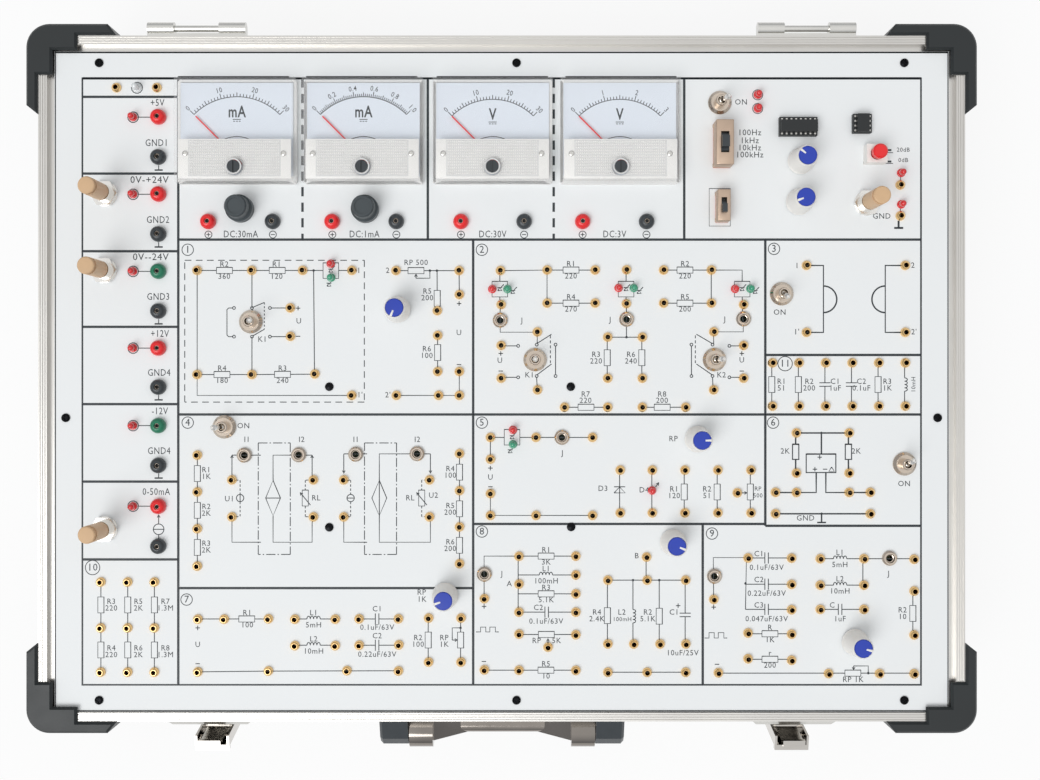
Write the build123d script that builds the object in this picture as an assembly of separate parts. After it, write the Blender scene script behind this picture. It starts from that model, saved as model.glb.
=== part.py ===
from build123d import *
import os

# Electrical circuit trainer: the bottom half of an aluminium-edged carrying case with its lid
# lifted off. A white panel carries moving-coil meters, switches, knobs, lamps and plug sockets,
# and the circuit board, the mains transformer and the supply board sit under it.
# Millimetres. +X runs along the case, +Y to the hinge side, +Z up. The origin is on the table,
# under the middle of the whole object, so the case itself sits case_y further back.

os.makedirs("parts", exist_ok=True)

# Case
case_length = 500.0
case_width = 370.0
base_depth = 84.0
foot_height = 8.0
foot_radius = 10.0
foot_inset = 48.0
board_thickness = 5.0
bottom_thickness = 4.0
profile_wall = 1.5
rim_bar_width = 4.7
rim_width = 8.0
rim_leg = 22.0
rim_inner_leg = 12.0
rim_lip = 1.5
rim_groove = 0.5
rim_groove_pitch = 1.3
base_leg = 20.0

# Corner guards
guard_proud = 6.0
guard_run = 43.7
guard_taper = 4.8
guard_radius = 12.5
guard_cap = 2.0
guard_cap_leg = 21.3
guard_edge = 1.2

# Panel and its printed border
panel_thickness = 2.0
panel_recess = 1.5
panel_gap = 0.25
border_margin_x = 15.1
border_margin_y = 14.5
screw_inset = 6.2
side_screw_drop = 19.6
batten_width = 14.0
batten_height = 15.0
fit_gap = 0.1
run_gap = 0.06

# Hinges and their pins
hinge_from_end = 85.0
hinge_leaf_width = 53.0
hinge_leaf_height = 30.0
hinge_leaf = 1.6
knuckle_radius = 3.4
knuckle_length = 14.3
hinge_offset = 4.6
pin_radius = 1.75
pin_end_radius = 1.2

# Handle
handle_length = 102.6
handle_boss_radius = 9.5
handle_boss_length = 13.0
handle_wall_gap = 1.0
handle_drop = 28.0
handle_below_rim = 24.0
handle_arm = 11.0
handle_grip = 12.0
handle_grip_length = 56.0
handle_depth = 14.0
handle_side_gap = 0.3
handle_pin_radius = 3.0
handle_edge = 4.5
mount_width = 15.5
mount_height = 34.0
mount_depth = 17.0

# Latches
latch_from_end = 91.0
latch_width = 46.0
latch_height = 44.0
latch_dish = 3.5
latch_below_rim = 5.0
lever_width = 18.5
lever_length = 34.0
lever_depth = 6.5
lever_wall = 1.2
lever_open = 11.0
lever_gap = 1.0
lever_heel = 1.6
latch_pin_radius = 1.2
latch_pivot_rise = 6.0
lug_wall = 2.0
claw_width = 12.0
claw_rise = 14.3
claw_inset = 0.6
claw_length = 24.0
claw_thickness = 1.4

# Meters
meter_length = 64.0
meter_width = 56.0
meter_base = 3.0
meter_height = 11.5
meter_cover_wall = 1.5
meter_back_radius = 24.0
meter_back_depth = 34.0
dial_thickness = 0.6
pivot_drop = 13.8
pointer_length = 31.0
pointer_width = 0.7
pointer_rest = 45.0
pointer_hub = 2.4
zero_screw_drop = 20.0
zero_screw_radius = 3.3

# Plug sockets
gold_flange = 2.6
gold_barrel = 1.9
gold_bore = 1.0
gold_height = 2.4
power_flange = 4.5
power_barrel = 3.0
power_bore = 1.1
power_height = 4.5
power_tail = 16.0
jack_flange = 4.0
jack_barrel = 3.0
jack_bore = 1.8
jack_height = 2.0
led_radius = 1.7
led_flange = 2.3
led_height = 6.0

# Knobs, pots and switches
knob_radius = 7.1
knob_top_radius = 5.6
knob_cap_radius = 4.75
knob_top = 19.0
knob_foot = 1.2
knob_cavity = 5.5
pot_body_radius = 8.0
pot_body_depth = 9.0
pot_bushing = 3.5
pot_bushing_height = 4.0
pot_nut_flats = 8.6
shaft_radius = 3.0
turn_pot_radius = 10.8
turn_pot_depth = 22.0
turn_bushing = 4.7
turn_bushing_height = 8.0
turn_nut_flats = 12.6
turn_knob_radius = 4.6
turn_knob_top = 30.0
toggle_bushing = 3.0
toggle_bore = 2.0
toggle_height = 7.5
toggle_nut_radius = 6.3
toggle_nut = 2.6
toggle_lever_top = 17.0
toggle_lever_tip = 1.5
toggle_tilt = 12.5
toggle_pin_radius = 0.6
toggle_pin_reach = 2.5
toggle_body_length = 13.0
toggle_body_width = 8.0
toggle_body_depth = 9.5
fuse_cap_radius = 7.3
fuse_cap_top = 14.0
fuse_bushing = 6.0
fuse_tail = 26.0
fuse_radius = 2.6

# Slide switches: width, length, height, slot width, slot length, slider length
slide_switches = {
    "frequency": (345.3, 36.6, 9.4, 24.0, 12.0, 4.4, 11.3, 6.0, 0.0),
    "waveform": (345.3, 69.7, 6.9, 16.8, 9.0, 3.0, 8.2, 4.4, -1.9),
}
slide_wall = 0.8
slider_proud = 3.2
push_length = 11.0
push_width = 10.0
push_height = 7.0
push_button_radius = 3.9
push_button_top = 14.0
push_travel = 2.5
chip_width = 10.0
chip_height = 6.0
chip_pitch = 2.54

# Boards and supply inside the case
board_drop = 13.0
circuit_board_thickness = 1.6
spacer_radius = 3.0
screw_shank = 1.5
screw_head = 2.3
screw_length = 10.0
core_length = 66.0
core_width = 36.0
core_height = 46.0
bobbin_margin = 9.0
supply_board_length = 170.0
supply_board_width = 110.0
capacitor_radius = 8.0
capacitor_height = 26.0
heat_sink_height = 34.0
inlet_length = 28.0
inlet_height = 20.0
inlet_depth = 21.0
inlet_flange = 3.0
inlet_cavity_length = 24.5
inlet_cavity_height = 16.5
inlet_cavity_depth = 16.0
inlet_x = -90.0

# Levels and places that follow from the sizes above
case_bottom = foot_height
rim_top = case_bottom + base_depth
panel_top = rim_top - panel_recess
panel_bottom = panel_top - panel_thickness
web_bottom = panel_bottom - rim_lip
board_top = panel_bottom - board_drop
floor_top = case_bottom + profile_wall + bottom_thickness
hinge_reach = hinge_offset + knuckle_radius
handle_reach = handle_wall_gap + 2 * handle_boss_radius
case_y = (handle_reach - hinge_reach) / 2
front_y = case_y - case_width / 2
back_y = case_y + case_width / 2
inner_length = case_length - 2 * rim_width
inner_width = case_width - 2 * rim_width
panel_length = inner_length - 2 * panel_gap
panel_width = case_width - rim_width - rim_bar_width - 2 * panel_gap
panel_y = case_y + (rim_bar_width - rim_width) / 2
batten_length = inner_length
hinge_x = case_length / 2 - hinge_from_end
latch_x = case_length / 2 - latch_from_end
pivot_reach = latch_dish + lever_gap + lever_depth / 2
claw_place = Pos(0, claw_inset, claw_rise)
cavity_length = case_length - 2 * (profile_wall + board_thickness)
cavity_width = case_width - 2 * (profile_wall + board_thickness)

# The printed border is a grid of 453 by 328 steps, and every piece on the panel stands at a
# column u counted from its left edge and a row v counted down from its back edge.
grid_columns = 453.0
grid_rows = 328.0
column_pitch = (panel_length - 2 * border_margin_x) / grid_columns
row_pitch = (panel_width - 2 * border_margin_y) / grid_rows

meter_places = [(84.3, 29.6), (152.3, 29.6), (221.7, 29.6), (290.0, 29.6)]
meter_socket_row = 77.5
meter_socket_columns = [(68.1, 102.9), (135.0, 169.6), (204.5, 238.6), (270.2, 304.7)]
fuse_places = [(85.5, 70.8), (153.0, 71.0)]
supply_column = 41.2
supply_rows = {
    "red": [21.0, 62.7, 145.9, 231.4],
    "green": [104.4, 187.8],
    "black": [42.7, 84.3, 125.9, 167.0, 209.3, 252.9],
}
supply_lamp_column = 27.4
turn_pots = {
    "supply_knob_1": (12.3, 62.5),
    "supply_knob_2": (12.0, 104.0),
    "supply_knob_3": (12.4, 243.6),
    "amplitude_knob": (423.6, 67.5),
}
# Knob: column, row and the way its pointer faces, in degrees from +X
knobs = {
    "knob_section_1": (170.3, 125.2, 247.0),
    "knob_section_5": (332.2, 195.1, 0.0),
    "knob_section_7": (196.0, 279.6, 200.0),
    "knob_section_8": (318.9, 250.8, -22.0),
    "knob_section_9": (416.9, 304.6, -15.0),
    "knob_coarse": (387.7, 45.0, 141.0),
    "knob_fine": (386.8, 67.0, 202.0),
}
# Toggle: column, row, the way its lever leans at rest and how far
toggles = {
    "lever_generator": (344.2, 13.3, 0.0, toggle_tilt),
    "lever_section_1": (91.1, 131.7, 0.0, toggle_tilt),
    "lever_section_2_left": (244.5, 152.2, 0.0, 0.0),
    "lever_section_2_right": (341.3, 152.2, 0.0, toggle_tilt),
    "lever_section_3": (377.6, 116.6, 270.0, toggle_tilt),
    "lever_section_4": (76.8, 188.5, 180.0, toggle_tilt),
    "lever_section_6": (443.9, 208.5, 90.0, toggle_tilt),
}
push_place = (427.4, 41.7)
chips = [(386.1, 26.6, 8, 0.0), (420.5, 25.0, 4, 90.0)]
jack_places = [
    (225.7, 130.9), (293.9, 130.4), (357.0, 130.2), (87.6, 203.8), (116.9, 203.6), (147.7, 203.3),
    (180.8, 203.0), (259.0, 194.2), (217.1, 268.1), (341.3, 269.2), (435.8, 259.5),
]
board_screws = [(133.4, 166.8), (263.8, 166.8), (133.4, 242.8), (264.0, 242.6)]
red_lamps = [
    (364.8, 8.9), (364.8, 16.3), (442.2, 51.2), (442.2, 68.2), (134.2, 100.3), (221.4, 114.0),
    (289.6, 113.4), (352.5, 113.9), (232.6, 190.1), (307.7, 222.9),
]
green_lamps = [(134.4, 107.8), (229.6, 114.0), (297.8, 113.4), (360.8, 113.8), (232.6, 197.9)]
clear_lamps = [(29.5, 5.1)]


def grid(columns, rows):
    return [(u, v) for u in columns for v in rows]


gold_test = [(18.5, 5.1), (40.3, 5.1)]
gold_generator = [(441.7, 57.7), (441.8, 74.4)]
gold_section_1 = grid([62.0, 91.5, 119.0, 145.6], [103.9]) + [
    (112.3, 124.2), (112.4, 139.6), (62.0, 160.2), (91.6, 160.2), (125.6, 159.9), (145.5, 171.5),
    (169.4, 104.0), (203.5, 104.0), (203.6, 117.0), (191.7, 125.7), (191.9, 139.1), (191.9, 158.6),
    (203.6, 158.6), (169.6, 171.5), (192.4, 171.5), (203.6, 171.5),
]
gold_section_2 = (
    grid([226.2, 357.1], [122.4, 144.5, 162.2])
    + grid([251.0, 276.9, 313.9, 339.7], [103.7, 121.6])
    + grid([283.7, 302.4], [140.0, 162.2, 177.9])
    + [
        (225.8, 104.0), (293.9, 103.6), (293.8, 121.9), (245.7, 137.2), (245.8, 168.5),
        (341.0, 137.1), (340.9, 168.5), (260.4, 177.9), (325.8, 177.9),
    ]
)
gold_section_3 = grid([391.1, 444.4], [101.2, 137.4])
gold_section_11 = grid([372.7 + 14.35 * step for step in range(6)], [153.9, 177.3])
gold_section_4 = (
    grid([62.1], [203.8, 223.7, 243.6, 263.8])
    + grid([203.7], [203.0, 223.0, 242.6, 262.5])
    + grid([80.8, 124.8, 141.2, 187.5], [217.2, 237.2])
)
gold_section_5 = (
    grid([220.4], [194.2, 206.0, 224.6, 236.4])
    + grid([245.0, 275.5], [194.2, 236.4])
    + grid([290.5, 307.8, 325.4, 343.2, 361.1], [211.9, 235.0])
    + [(353.7, 224.2)]
)
gold_section_6 = grid([385.6, 414.1], [191.8, 213.5, 224.0]) + grid([374.3, 425.5], [223.9, 235.5])
gold_section_7 = (
    grid([100.5, 170.7], [292.3, 320.5])
    + grid([187.0, 204.5], [291.9, 315.7])
    + grid([114.8, 136.6], [292.5, 306.8])
    + [(62.4, 292.5), (76.6, 292.5), (62.4, 321.0), (149.5, 292.3), (149.5, 306.6), (170.9, 306.4)]
    + [(142.9, 320.3)]
)
gold_section_8 = (
    grid([217.1], [281.4, 319.9])
    + grid([235.8], [258.5, 273.5, 288.7, 300.6, 320.1])
    + grid([266.5], [258.4, 268.6, 278.8, 288.7, 300.9, 320.2])
    + grid([283.8, 305.0, 325.8], [271.4, 321.2])
    + grid([283.8, 297.8, 312.0, 325.9], [305.9])
    + [(251.5, 307.6), (304.7, 258.9)]
)
gold_section_9 = (
    grid([383.0], [259.5, 273.7, 287.4, 300.6, 314.7])
    + grid([398.5, 422.1], [259.8, 274.1, 287.2])
    + grid([449.2], [260.1, 277.3, 301.0, 322.0])
    + grid([359.5], [259.4, 300.0, 313.9])
    + [(341.0, 281.8), (343.5, 321.5), (403.0, 321.9), (430.5, 321.9)]
)
gold_section_10 = grid([10.0, 24.5, 38.9], [272.4, 297.2, 321.1])
gold_places = (
    gold_test + gold_generator + gold_section_1 + gold_section_2 + gold_section_3 + gold_section_11
    + gold_section_4 + gold_section_5 + gold_section_6 + gold_section_7 + gold_section_8
    + gold_section_9 + gold_section_10
)
supply_lamps = [(supply_lamp_column, row) for row in supply_rows["red"] + supply_rows["green"]]
red_sockets = [(supply_column, row) for row in supply_rows["red"]]
red_sockets += [(pair[0], meter_socket_row) for pair in meter_socket_columns]
black_sockets = [(supply_column, row) for row in supply_rows["black"]]
black_sockets += [(pair[1], meter_socket_row) for pair in meter_socket_columns]
green_sockets = [(supply_column, row) for row in supply_rows["green"]]
power_places = red_sockets + black_sockets + green_sockets
small_pots = [(u, v) for u, v, facing in knobs.values()]
screw_columns = [-panel_length / 2 + screw_inset + 18.0, 8.0, panel_length / 2 - screw_inset - 18.0]


def xy(u, v):
    x = (u - grid_columns / 2) * column_pitch
    y = panel_y + (grid_rows / 2 - v) * row_pitch
    return x, y


def spot(u, v, rise=0.0):
    x, y = xy(u, v)
    return Pos(x, y, panel_top + rise)


def save(node, *shapes):
    solids = [solid for shape in shapes for solid in shape.solids()]
    export_step(Compound(solids), f"parts/{node}.step")


def copies(shape, places):
    return [spot(u, v) * shape for u, v in places]


def block(length, width, low, high):
    return Pos(0, 0, (low + high) / 2) * Box(length, width, high - low)


def rod(radius, low, high):
    return Pos(0, 0, (low + high) / 2) * Cylinder(radius, high - low)


def turned(*outline):
    return revolve(Plane.XZ * Polygon(*outline, align=None), axis=Axis.Z)


def nut(flats, bore, low, high):
    blank = extrude(RegularPolygon(flats / 2, 6, major_radius=False), high - low)
    return Pos(0, 0, low) * blank - rod(bore, low - 1, high + 1)


def ring(inset, wall, low, high):
    length = case_length - 2 * inset
    width = case_width - 2 * inset
    outer = block(length, width, low, high)
    return Pos(0, case_y, 0) * (outer - block(length - 2 * wall, width - 2 * wall, low - 1, high + 1))


def four_sides(frame):
    # Cuts a rectangular ring into four bars with mitred corners
    half_x = case_length / 2
    half_y = case_width / 2
    ridge = half_x - half_y
    front = Polygon((-half_x, -half_y), (half_x, -half_y), (ridge, 0), (-ridge, 0), align=None)
    side = Polygon((half_x, -half_y), (half_x, half_y), (ridge, 0), align=None)
    front_wedge = Pos(0, case_y, 0) * extrude(front, rim_top + 1)
    side_wedge = Pos(0, case_y, 0) * extrude(side, rim_top + 1)
    middle = Plane.XZ.offset(-case_y)
    bars = [frame & front_wedge, frame & mirror(front_wedge, about=middle)]
    return bars + [frame & side_wedge, frame & mirror(side_wedge, about=Plane.YZ)]


def four_corners(piece):
    # The piece is built at the back right corner of the case
    middle = Plane.XZ.offset(-case_y)
    pair = [piece, mirror(piece, about=Plane.YZ)]
    return pair + [mirror(one, about=middle) for one in pair]


# Case shell
def edge_profiles():
    rim = ring(0, profile_wall, rim_top - rim_leg, web_bottom + profile_wall)
    rim += ring(0, rim_bar_width, web_bottom, rim_top)
    rim += ring(0, rim_width, web_bottom, panel_bottom)
    inner_leg = ring(rim_width - profile_wall, profile_wall, web_bottom - rim_inner_leg, panel_bottom)
    rim += inner_leg
    for step in range(3):
        inset = 0.9 + rim_groove_pitch * step
        rim -= ring(inset, rim_groove, rim_top - rim_groove, rim_top + 1)
    base = ring(0, profile_wall, case_bottom, case_bottom + base_leg)
    base += ring(0, base_leg, case_bottom, case_bottom + profile_wall)
    return four_sides(rim) + four_sides(base)


def wall_boards():
    low = case_bottom + profile_wall
    high = web_bottom
    side = Box(board_thickness, case_width - 2 * profile_wall, high - low)
    end = Box(cavity_length, board_thickness, high - low)
    middle = (low + high) / 2
    side_x = case_length / 2 - profile_wall - board_thickness / 2
    end_y = case_width / 2 - profile_wall - board_thickness / 2
    back = Pos(0, case_y + end_y, middle) * end
    back -= inlet_at() * Box(inlet_length + 2 * fit_gap, 60, inlet_height + 2 * fit_gap)
    walls = [Pos(side_x, case_y, middle) * side, Pos(-side_x, case_y, middle) * side]
    return walls + [Pos(0, case_y - end_y, middle) * end, back]


def bottom_board():
    low = case_bottom + profile_wall
    board = Pos(0, case_y, 0) * block(cavity_length, cavity_width, low, floor_top)
    for place in foot_places():
        board -= place * rod(screw_shank + fit_gap, low - 1, floor_top + 1)
    return board


def foot_places():
    x = case_length / 2 - foot_inset
    y = case_width / 2 - foot_inset
    return [Pos(sx * x, case_y + sy * y, 0) for sx in (-1, 1) for sy in (-1, 1)]


def rubber_foot():
    high = case_bottom + profile_wall
    outline = [(screw_shank + fit_gap, 3.0), (screw_head + 1.0, 3.0), (screw_head + 1.0, 0.0)]
    outline += [(foot_radius - 1.5, 0.0), (foot_radius, 1.5), (foot_radius, high)]
    return turned(*outline, (screw_shank + fit_gap, high))


def foot_screw():
    shank = rod(screw_shank, 3.0, floor_top)
    return shank + rod(screw_head + 0.4, 1.0, 3.0)


def corner_guard():
    reach = guard_proud - guard_run
    taper_end = reach - guard_taper
    corner = (guard_proud, guard_proud)
    flange = Polygon(
        corner, (reach, guard_proud), (taper_end, 0), (0, 0), (0, taper_end), (guard_proud, reach),
        align=None,
    )
    outside = flange.vertices().sort_by_distance(corner)[0]
    flange = fillet(outside, guard_radius)
    low = case_bottom - guard_cap
    high = rim_top + guard_cap
    guard = Pos(0, 0, low) * extrude(flange, high - low)
    leg = guard_cap_leg
    cap = Polygon(
        (0.5, 0.5), (-leg, 0.5), (-leg, -rim_width), (-rim_width, -rim_width), (-rim_width, -leg),
        (0.5, -leg), align=None,
    )
    guard += Pos(0, 0, rim_top) * extrude(cap, guard_cap)
    guard += Pos(0, 0, low) * extrude(cap, guard_cap)
    ends = guard.edges().group_by(Axis.Z)
    guard = chamfer(ends[-1] + ends[0], guard_edge)
    return Pos(case_length / 2, back_y, 0) * guard


# Front and back fittings
def hinge_half():
    # Leaf, two knuckles and the pin that the lid's half slides onto
    leaf_low = rim_top - hinge_leaf_height
    leaf = Pos(0, hinge_leaf / 2, 0) * block(hinge_leaf_width, hinge_leaf, leaf_low, rim_top - 1)
    knuckle_x = (hinge_leaf_width - knuckle_length) / 2
    for side in (-1, 1):
        barrel = Rot(0, 90, 0) * Cylinder(knuckle_radius, knuckle_length)
        web = Pos(0, hinge_offset / 2, -2.2) * Box(knuckle_length, hinge_offset, 2.4)
        leaf += Pos(side * knuckle_x, hinge_offset, rim_top - knuckle_radius) * barrel
        leaf += Pos(side * knuckle_x, 0, rim_top - knuckle_radius) * web
    axis = Pos(0, hinge_offset, rim_top - knuckle_radius) * Rot(0, 90, 0)
    leaf -= axis * Cylinder(pin_end_radius, hinge_leaf_width + 2)
    pin = axis * Cylinder(pin_end_radius, hinge_leaf_width)
    pin += axis * Cylinder(pin_radius, hinge_leaf_width - 2 * knuckle_length)
    rivets = [Pos(x, hinge_leaf, leaf_low + 8) * rivet_head() for x in (-18, 0, 18)]
    return [leaf, pin] + rivets


def rivet_head():
    # A domed head whose flat back lies on a plate facing +Y
    dome = Rot(-90, 0, 0) * turned((0, 0), (2.6, 0), (2.2, 0.9), (0, 1.3))
    return dome


def lid_hinges():
    parts = hinge_half()
    return [Pos(side * hinge_x, back_y, 0) * part for side in (-1, 1) for part in parts]


def handle_axis():
    y = front_y - handle_wall_gap - handle_boss_radius
    return Pos(0, y, rim_top - handle_below_rim)


def handle_mount():
    # Built about the handle's axis, for the +X end
    wall = handle_wall_gap + handle_boss_radius
    inner_x = handle_length / 2 + handle_side_gap
    profile = Polygon(
        (-wall, -mount_height / 2), (-wall, mount_height / 2 - 2), (mount_depth - wall - 4, 11),
        (mount_depth - wall, 6), (mount_depth - wall, -6), (mount_depth - wall - 4, -11), align=None,
    )
    # Local x of the profile points away from the wall, towards -Y
    side_plane = Plane(origin=(inner_x, 0, 0), x_dir=(0, -1, 0), z_dir=(1, 0, 0))
    mount = extrude(side_plane * profile, mount_width, dir=(1, 0, 0))
    outer_edges = mount.faces().sort_by(Axis.X)[-1].edges()
    mount = chamfer(outer_edges, 1.5)
    bore = Rot(0, 90, 0) * Cylinder(handle_pin_radius + run_gap, 2 * (mount_width - 4))
    return mount - Pos(inner_x, 0, 0) * bore


def handle():
    half = handle_length / 2
    boss = Rot(0, 90, 0) * Cylinder(handle_boss_radius, handle_boss_length)
    boss_x = half - handle_boss_length / 2
    grip_half = handle_grip_length / 2
    bow_outline = Polygon(
        (-half, 0), (-half, -handle_boss_radius), (-grip_half - 6, -handle_drop),
        (grip_half + 6, -handle_drop), (half, -handle_boss_radius), (half, 0),
        (half - handle_arm, 0), (grip_half - 4, handle_grip - handle_drop),
        (4 - grip_half, handle_grip - handle_drop), (handle_arm - half, 0), align=None,
    )
    bow = extrude(Plane.XZ * bow_outline, handle_depth / 2, both=True)
    long_edges = bow.edges().filter_by(Axis.X).group_by(Axis.Z)
    bow = fillet(long_edges[0] + long_edges[-2], handle_edge)
    for side in (-1, 1):
        bow += Pos(side * boss_x, 0, 0) * boss
        stub = Rot(0, 90, 0) * Cylinder(handle_pin_radius, 2 * (mount_width - 5))
        bow += Pos(side * half, 0, 0) * stub
    return handle_axis() * bow


def latch_plate_at(side):
    return Pos(side * latch_x, front_y, rim_top - latch_below_rim - latch_height)


def latch_pivot(side):
    # Axis of the latch lever, on the lugs at the foot of the plate
    return latch_plate_at(side) * Pos(0, -pivot_reach, latch_pivot_rise)


def latch_plate():
    # Local z starts at the plate's foot, and -Y faces away from the wall
    plate = Pos(0, -latch_dish / 2, latch_height / 2) * Box(latch_width, latch_dish, latch_height)
    front = plate.faces().sort_by(Axis.Y)[0]
    plate = chamfer(front.edges(), latch_dish - 1.0)
    # The two lugs that carry the lever's pin are brazed to the plate's face
    lug_end = pivot_reach + 2 * latch_pin_radius
    lug_x = (lever_width + lug_wall) / 2 + fit_gap
    bore = Pos(0, -pivot_reach, latch_pivot_rise) * Rot(0, 90, 0)
    bore *= Cylinder(latch_pin_radius + run_gap, latch_width)
    lugs = []
    for side in (-1, 1):
        lug = Pos(side * lug_x, -(lug_end + latch_dish) / 2, latch_pivot_rise)
        lug *= Box(lug_wall, lug_end - latch_dish, 5 * latch_pin_radius)
        lugs.append(lug - bore)
    rivet_x = latch_width / 2 - 7
    heads = [Pos(x, -latch_dish, latch_height - 9) * Rot(0, 0, 180) for x in (-rivet_x, rivet_x)]
    return [plate] + lugs + [place * rivet_head() for place in heads]


def latch_lever():
    # U channel, shut position, pivot at the local origin; -Y faces out
    middle = lever_length / 2 - lever_heel
    shell = Pos(0, 0, middle) * Box(lever_width, lever_depth, lever_length)
    inside_width = lever_width - 2 * lever_wall
    shell -= Pos(0, lever_wall, middle) * Box(inside_width, lever_depth, lever_length + 1)
    lip_top = lever_length - lever_heel
    lip = Pos(0, -lever_depth / 2 - 0.6, lip_top - 1.5) * Box(lever_width, 2.4, 3.0)
    pin = Rot(0, 90, 0) * Cylinder(latch_pin_radius, lever_width + 2 * lug_wall)
    claw_pin = claw_place * Rot(0, 90, 0) * Cylinder(latch_pin_radius, lever_width)
    return shell + lip + pin + claw_pin


def latch_claw():
    # Hook that pulls the lid down; local origin on its own pivot
    eye = Rot(0, 90, 0) * Cylinder(latch_pin_radius + 1.2, claw_width)
    arm = Pos(0, 0, claw_length / 2) * Box(claw_width, claw_thickness, claw_length)
    hook = Pos(0, 1.0, claw_length - 1.0) * Box(claw_width, 2.0 + claw_thickness, 2.0)
    claw = eye + arm + hook
    return claw - Rot(0, 90, 0) * Cylinder(latch_pin_radius + run_gap, claw_width + 2)


# Panel
def panel_screw_places():
    back = panel_y + panel_width / 2 - screw_inset
    front = panel_y - panel_width / 2 + screw_inset
    side = panel_length / 2 - screw_inset
    places = [Pos(x, y, panel_top) for x in screw_columns for y in (front, back)]
    middle = panel_y - side_screw_drop
    return places + [Pos(-side, middle, panel_top), Pos(side, middle, panel_top)]


def hole(place, radius):
    x, y = xy(*place)
    return Pos(x, y) * Circle(radius)


def slot_hole(place, length, width, turn=0.0):
    x, y = xy(*place)
    return Pos(x, y) * Rot(0, 0, turn) * Rectangle(length, width)


def face_panel():
    openings = [hole(place, gold_barrel + fit_gap) for place in gold_places]
    openings += [hole(place, power_barrel + fit_gap) for place in power_places]
    openings += [hole(place, jack_barrel + fit_gap) for place in jack_places]
    for places in (red_lamps, green_lamps, clear_lamps, supply_lamps):
        openings += [hole(place, led_radius + fit_gap) for place in places]
    openings += [hole(place, pot_bushing + fit_gap) for place in small_pots]
    openings += [hole(place, turn_bushing + fit_gap) for place in turn_pots.values()]
    openings += [hole((u, v), toggle_bushing + fit_gap) for u, v, way, lean in toggles.values()]
    openings += [hole(place, fuse_bushing + fit_gap) for place in fuse_places]
    openings += [hole(place, meter_back_radius + fit_gap) for place in meter_places]
    openings += [hole(place, screw_shank + fit_gap) for place in board_screws]
    for u, v, width, length, *rest in slide_switches.values():
        openings.append(slot_hole((u, v), width - 3.0, length - 4.0))
    openings.append(slot_hole(push_place, push_length - 4.0, push_width - 3.0))
    for u, v, count, turn in chips:
        openings.append(slot_hole((u, v), count * chip_pitch - 2.0, chip_width - 1.6, turn))
    sheet = Pos(0, panel_y) * Rectangle(panel_length, panel_width) - openings
    panel = Pos(0, 0, panel_bottom) * extrude(sheet, panel_thickness)
    for place in panel_screw_places():
        panel -= place * rod(screw_shank + fit_gap, -panel_thickness - 1, 1)
    return panel


def support_battens():
    # Wooden strips under the panel's edges, with pilot holes for its screws
    low = panel_bottom - batten_height
    long_bar = Box(batten_length, batten_width, batten_height)
    short_bar = Box(batten_width, inner_width - 2 * batten_width, batten_height)
    y = (inner_width - batten_width) / 2
    x = (inner_length - batten_width) / 2
    middle = low + batten_height / 2
    bars = [Pos(0, case_y + side * y, middle) * long_bar for side in (-1, 1)]
    bars += [Pos(side * x, case_y, middle) * short_bar for side in (-1, 1)]
    drilled = []
    for bar in bars:
        for place in panel_screw_places():
            bar -= place * rod(screw_shank + fit_gap, -screw_length - 1, 0)
        drilled.append(bar)
    return drilled


def panel_screw():
    head = turned((0, 0), (screw_head, 0), (screw_head, 0.6), (screw_head * 0.6, 1.3), (0, 1.3))
    recess = Box(0.8, 2.6, 1.6) + Box(2.6, 0.8, 1.6)
    return head + rod(screw_shank, -screw_length, 0.5) - Pos(0, 0, 1.4) * recess


def board_spacer():
    low = board_top - panel_top
    return rod(spacer_radius, low, -panel_thickness) - rod(screw_shank + fit_gap, low - 1, 0)


def board_screw():
    tail = board_top - panel_top - circuit_board_thickness - 1.0
    return rod(screw_shank, tail, 0.5) + turned((0, 0), (screw_head, 0), (screw_head, 0.5), (0, 1.1))


def fasteners():
    screws = [place * panel_screw() for place in panel_screw_places()]
    screws += copies(board_screw(), board_screws)
    screws += copies(board_spacer(), board_screws)
    return screws + [place * foot_screw() for place in foot_places()]


# Meters
def meter_case():
    # Base plate on the panel, movement can through it, and the dial plate on top
    base = block(meter_length, meter_width, 0, meter_base)
    base = chamfer(base.edges().filter_by(Axis.Z), 1.0)
    base += rod(meter_back_radius, -meter_back_depth, 0.5)
    pivot = Pos(0, -pivot_drop, 0)
    base -= pivot * rod(1.0, meter_base - 4, meter_base + 1)
    top = meter_base + dial_thickness
    dial = block(meter_length - 8, meter_width - 8, meter_base, top)
    dial -= pivot * rod(1.6, meter_base - 1, top + 1)
    return [base, dial]


def meter_cover():
    # Clear moulding over the dial, with a collar for the zero screw
    cover = block(meter_length, meter_width, meter_base, meter_height)
    cover = chamfer(cover.faces().sort_by(Axis.Z)[-1].edges(), 1.0)
    wall = meter_cover_wall
    cover -= block(
        meter_length - 2 * wall, meter_width - 2 * wall, meter_base - 1, meter_height - wall)
    screw = Pos(0, -zero_screw_drop, 0)
    cover += screw * rod(zero_screw_radius + 1.1, meter_height - wall - 2.2, meter_height + 0.6)
    return cover - screw * rod(zero_screw_radius + run_gap, meter_base - 1, meter_height + 1)


def meter_pointer():
    # Needle, hub and staff; local origin on the staff, needle along +Y before it is turned
    low = meter_base + dial_thickness + 0.8
    needle = Pos(0, pointer_length / 2, 0) * block(pointer_width, pointer_length, low, low + 0.4)
    tail = Pos(0, -2.5, 0) * block(1.6, 5.0, low, low + 0.4)
    staff = rod(0.85, meter_base - 3.5, low)
    return Rot(0, 0, pointer_rest) * (needle + tail + rod(pointer_hub, low, low + 1.2) + staff)


def zero_screw():
    low = meter_height - meter_cover_wall - 2.0
    high = meter_height + 0.9
    plug = rod(zero_screw_radius, low, high)
    return plug - Pos(0, 0, high) * Box(0.9, 2 * zero_screw_radius + 1, 1.6)


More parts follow.
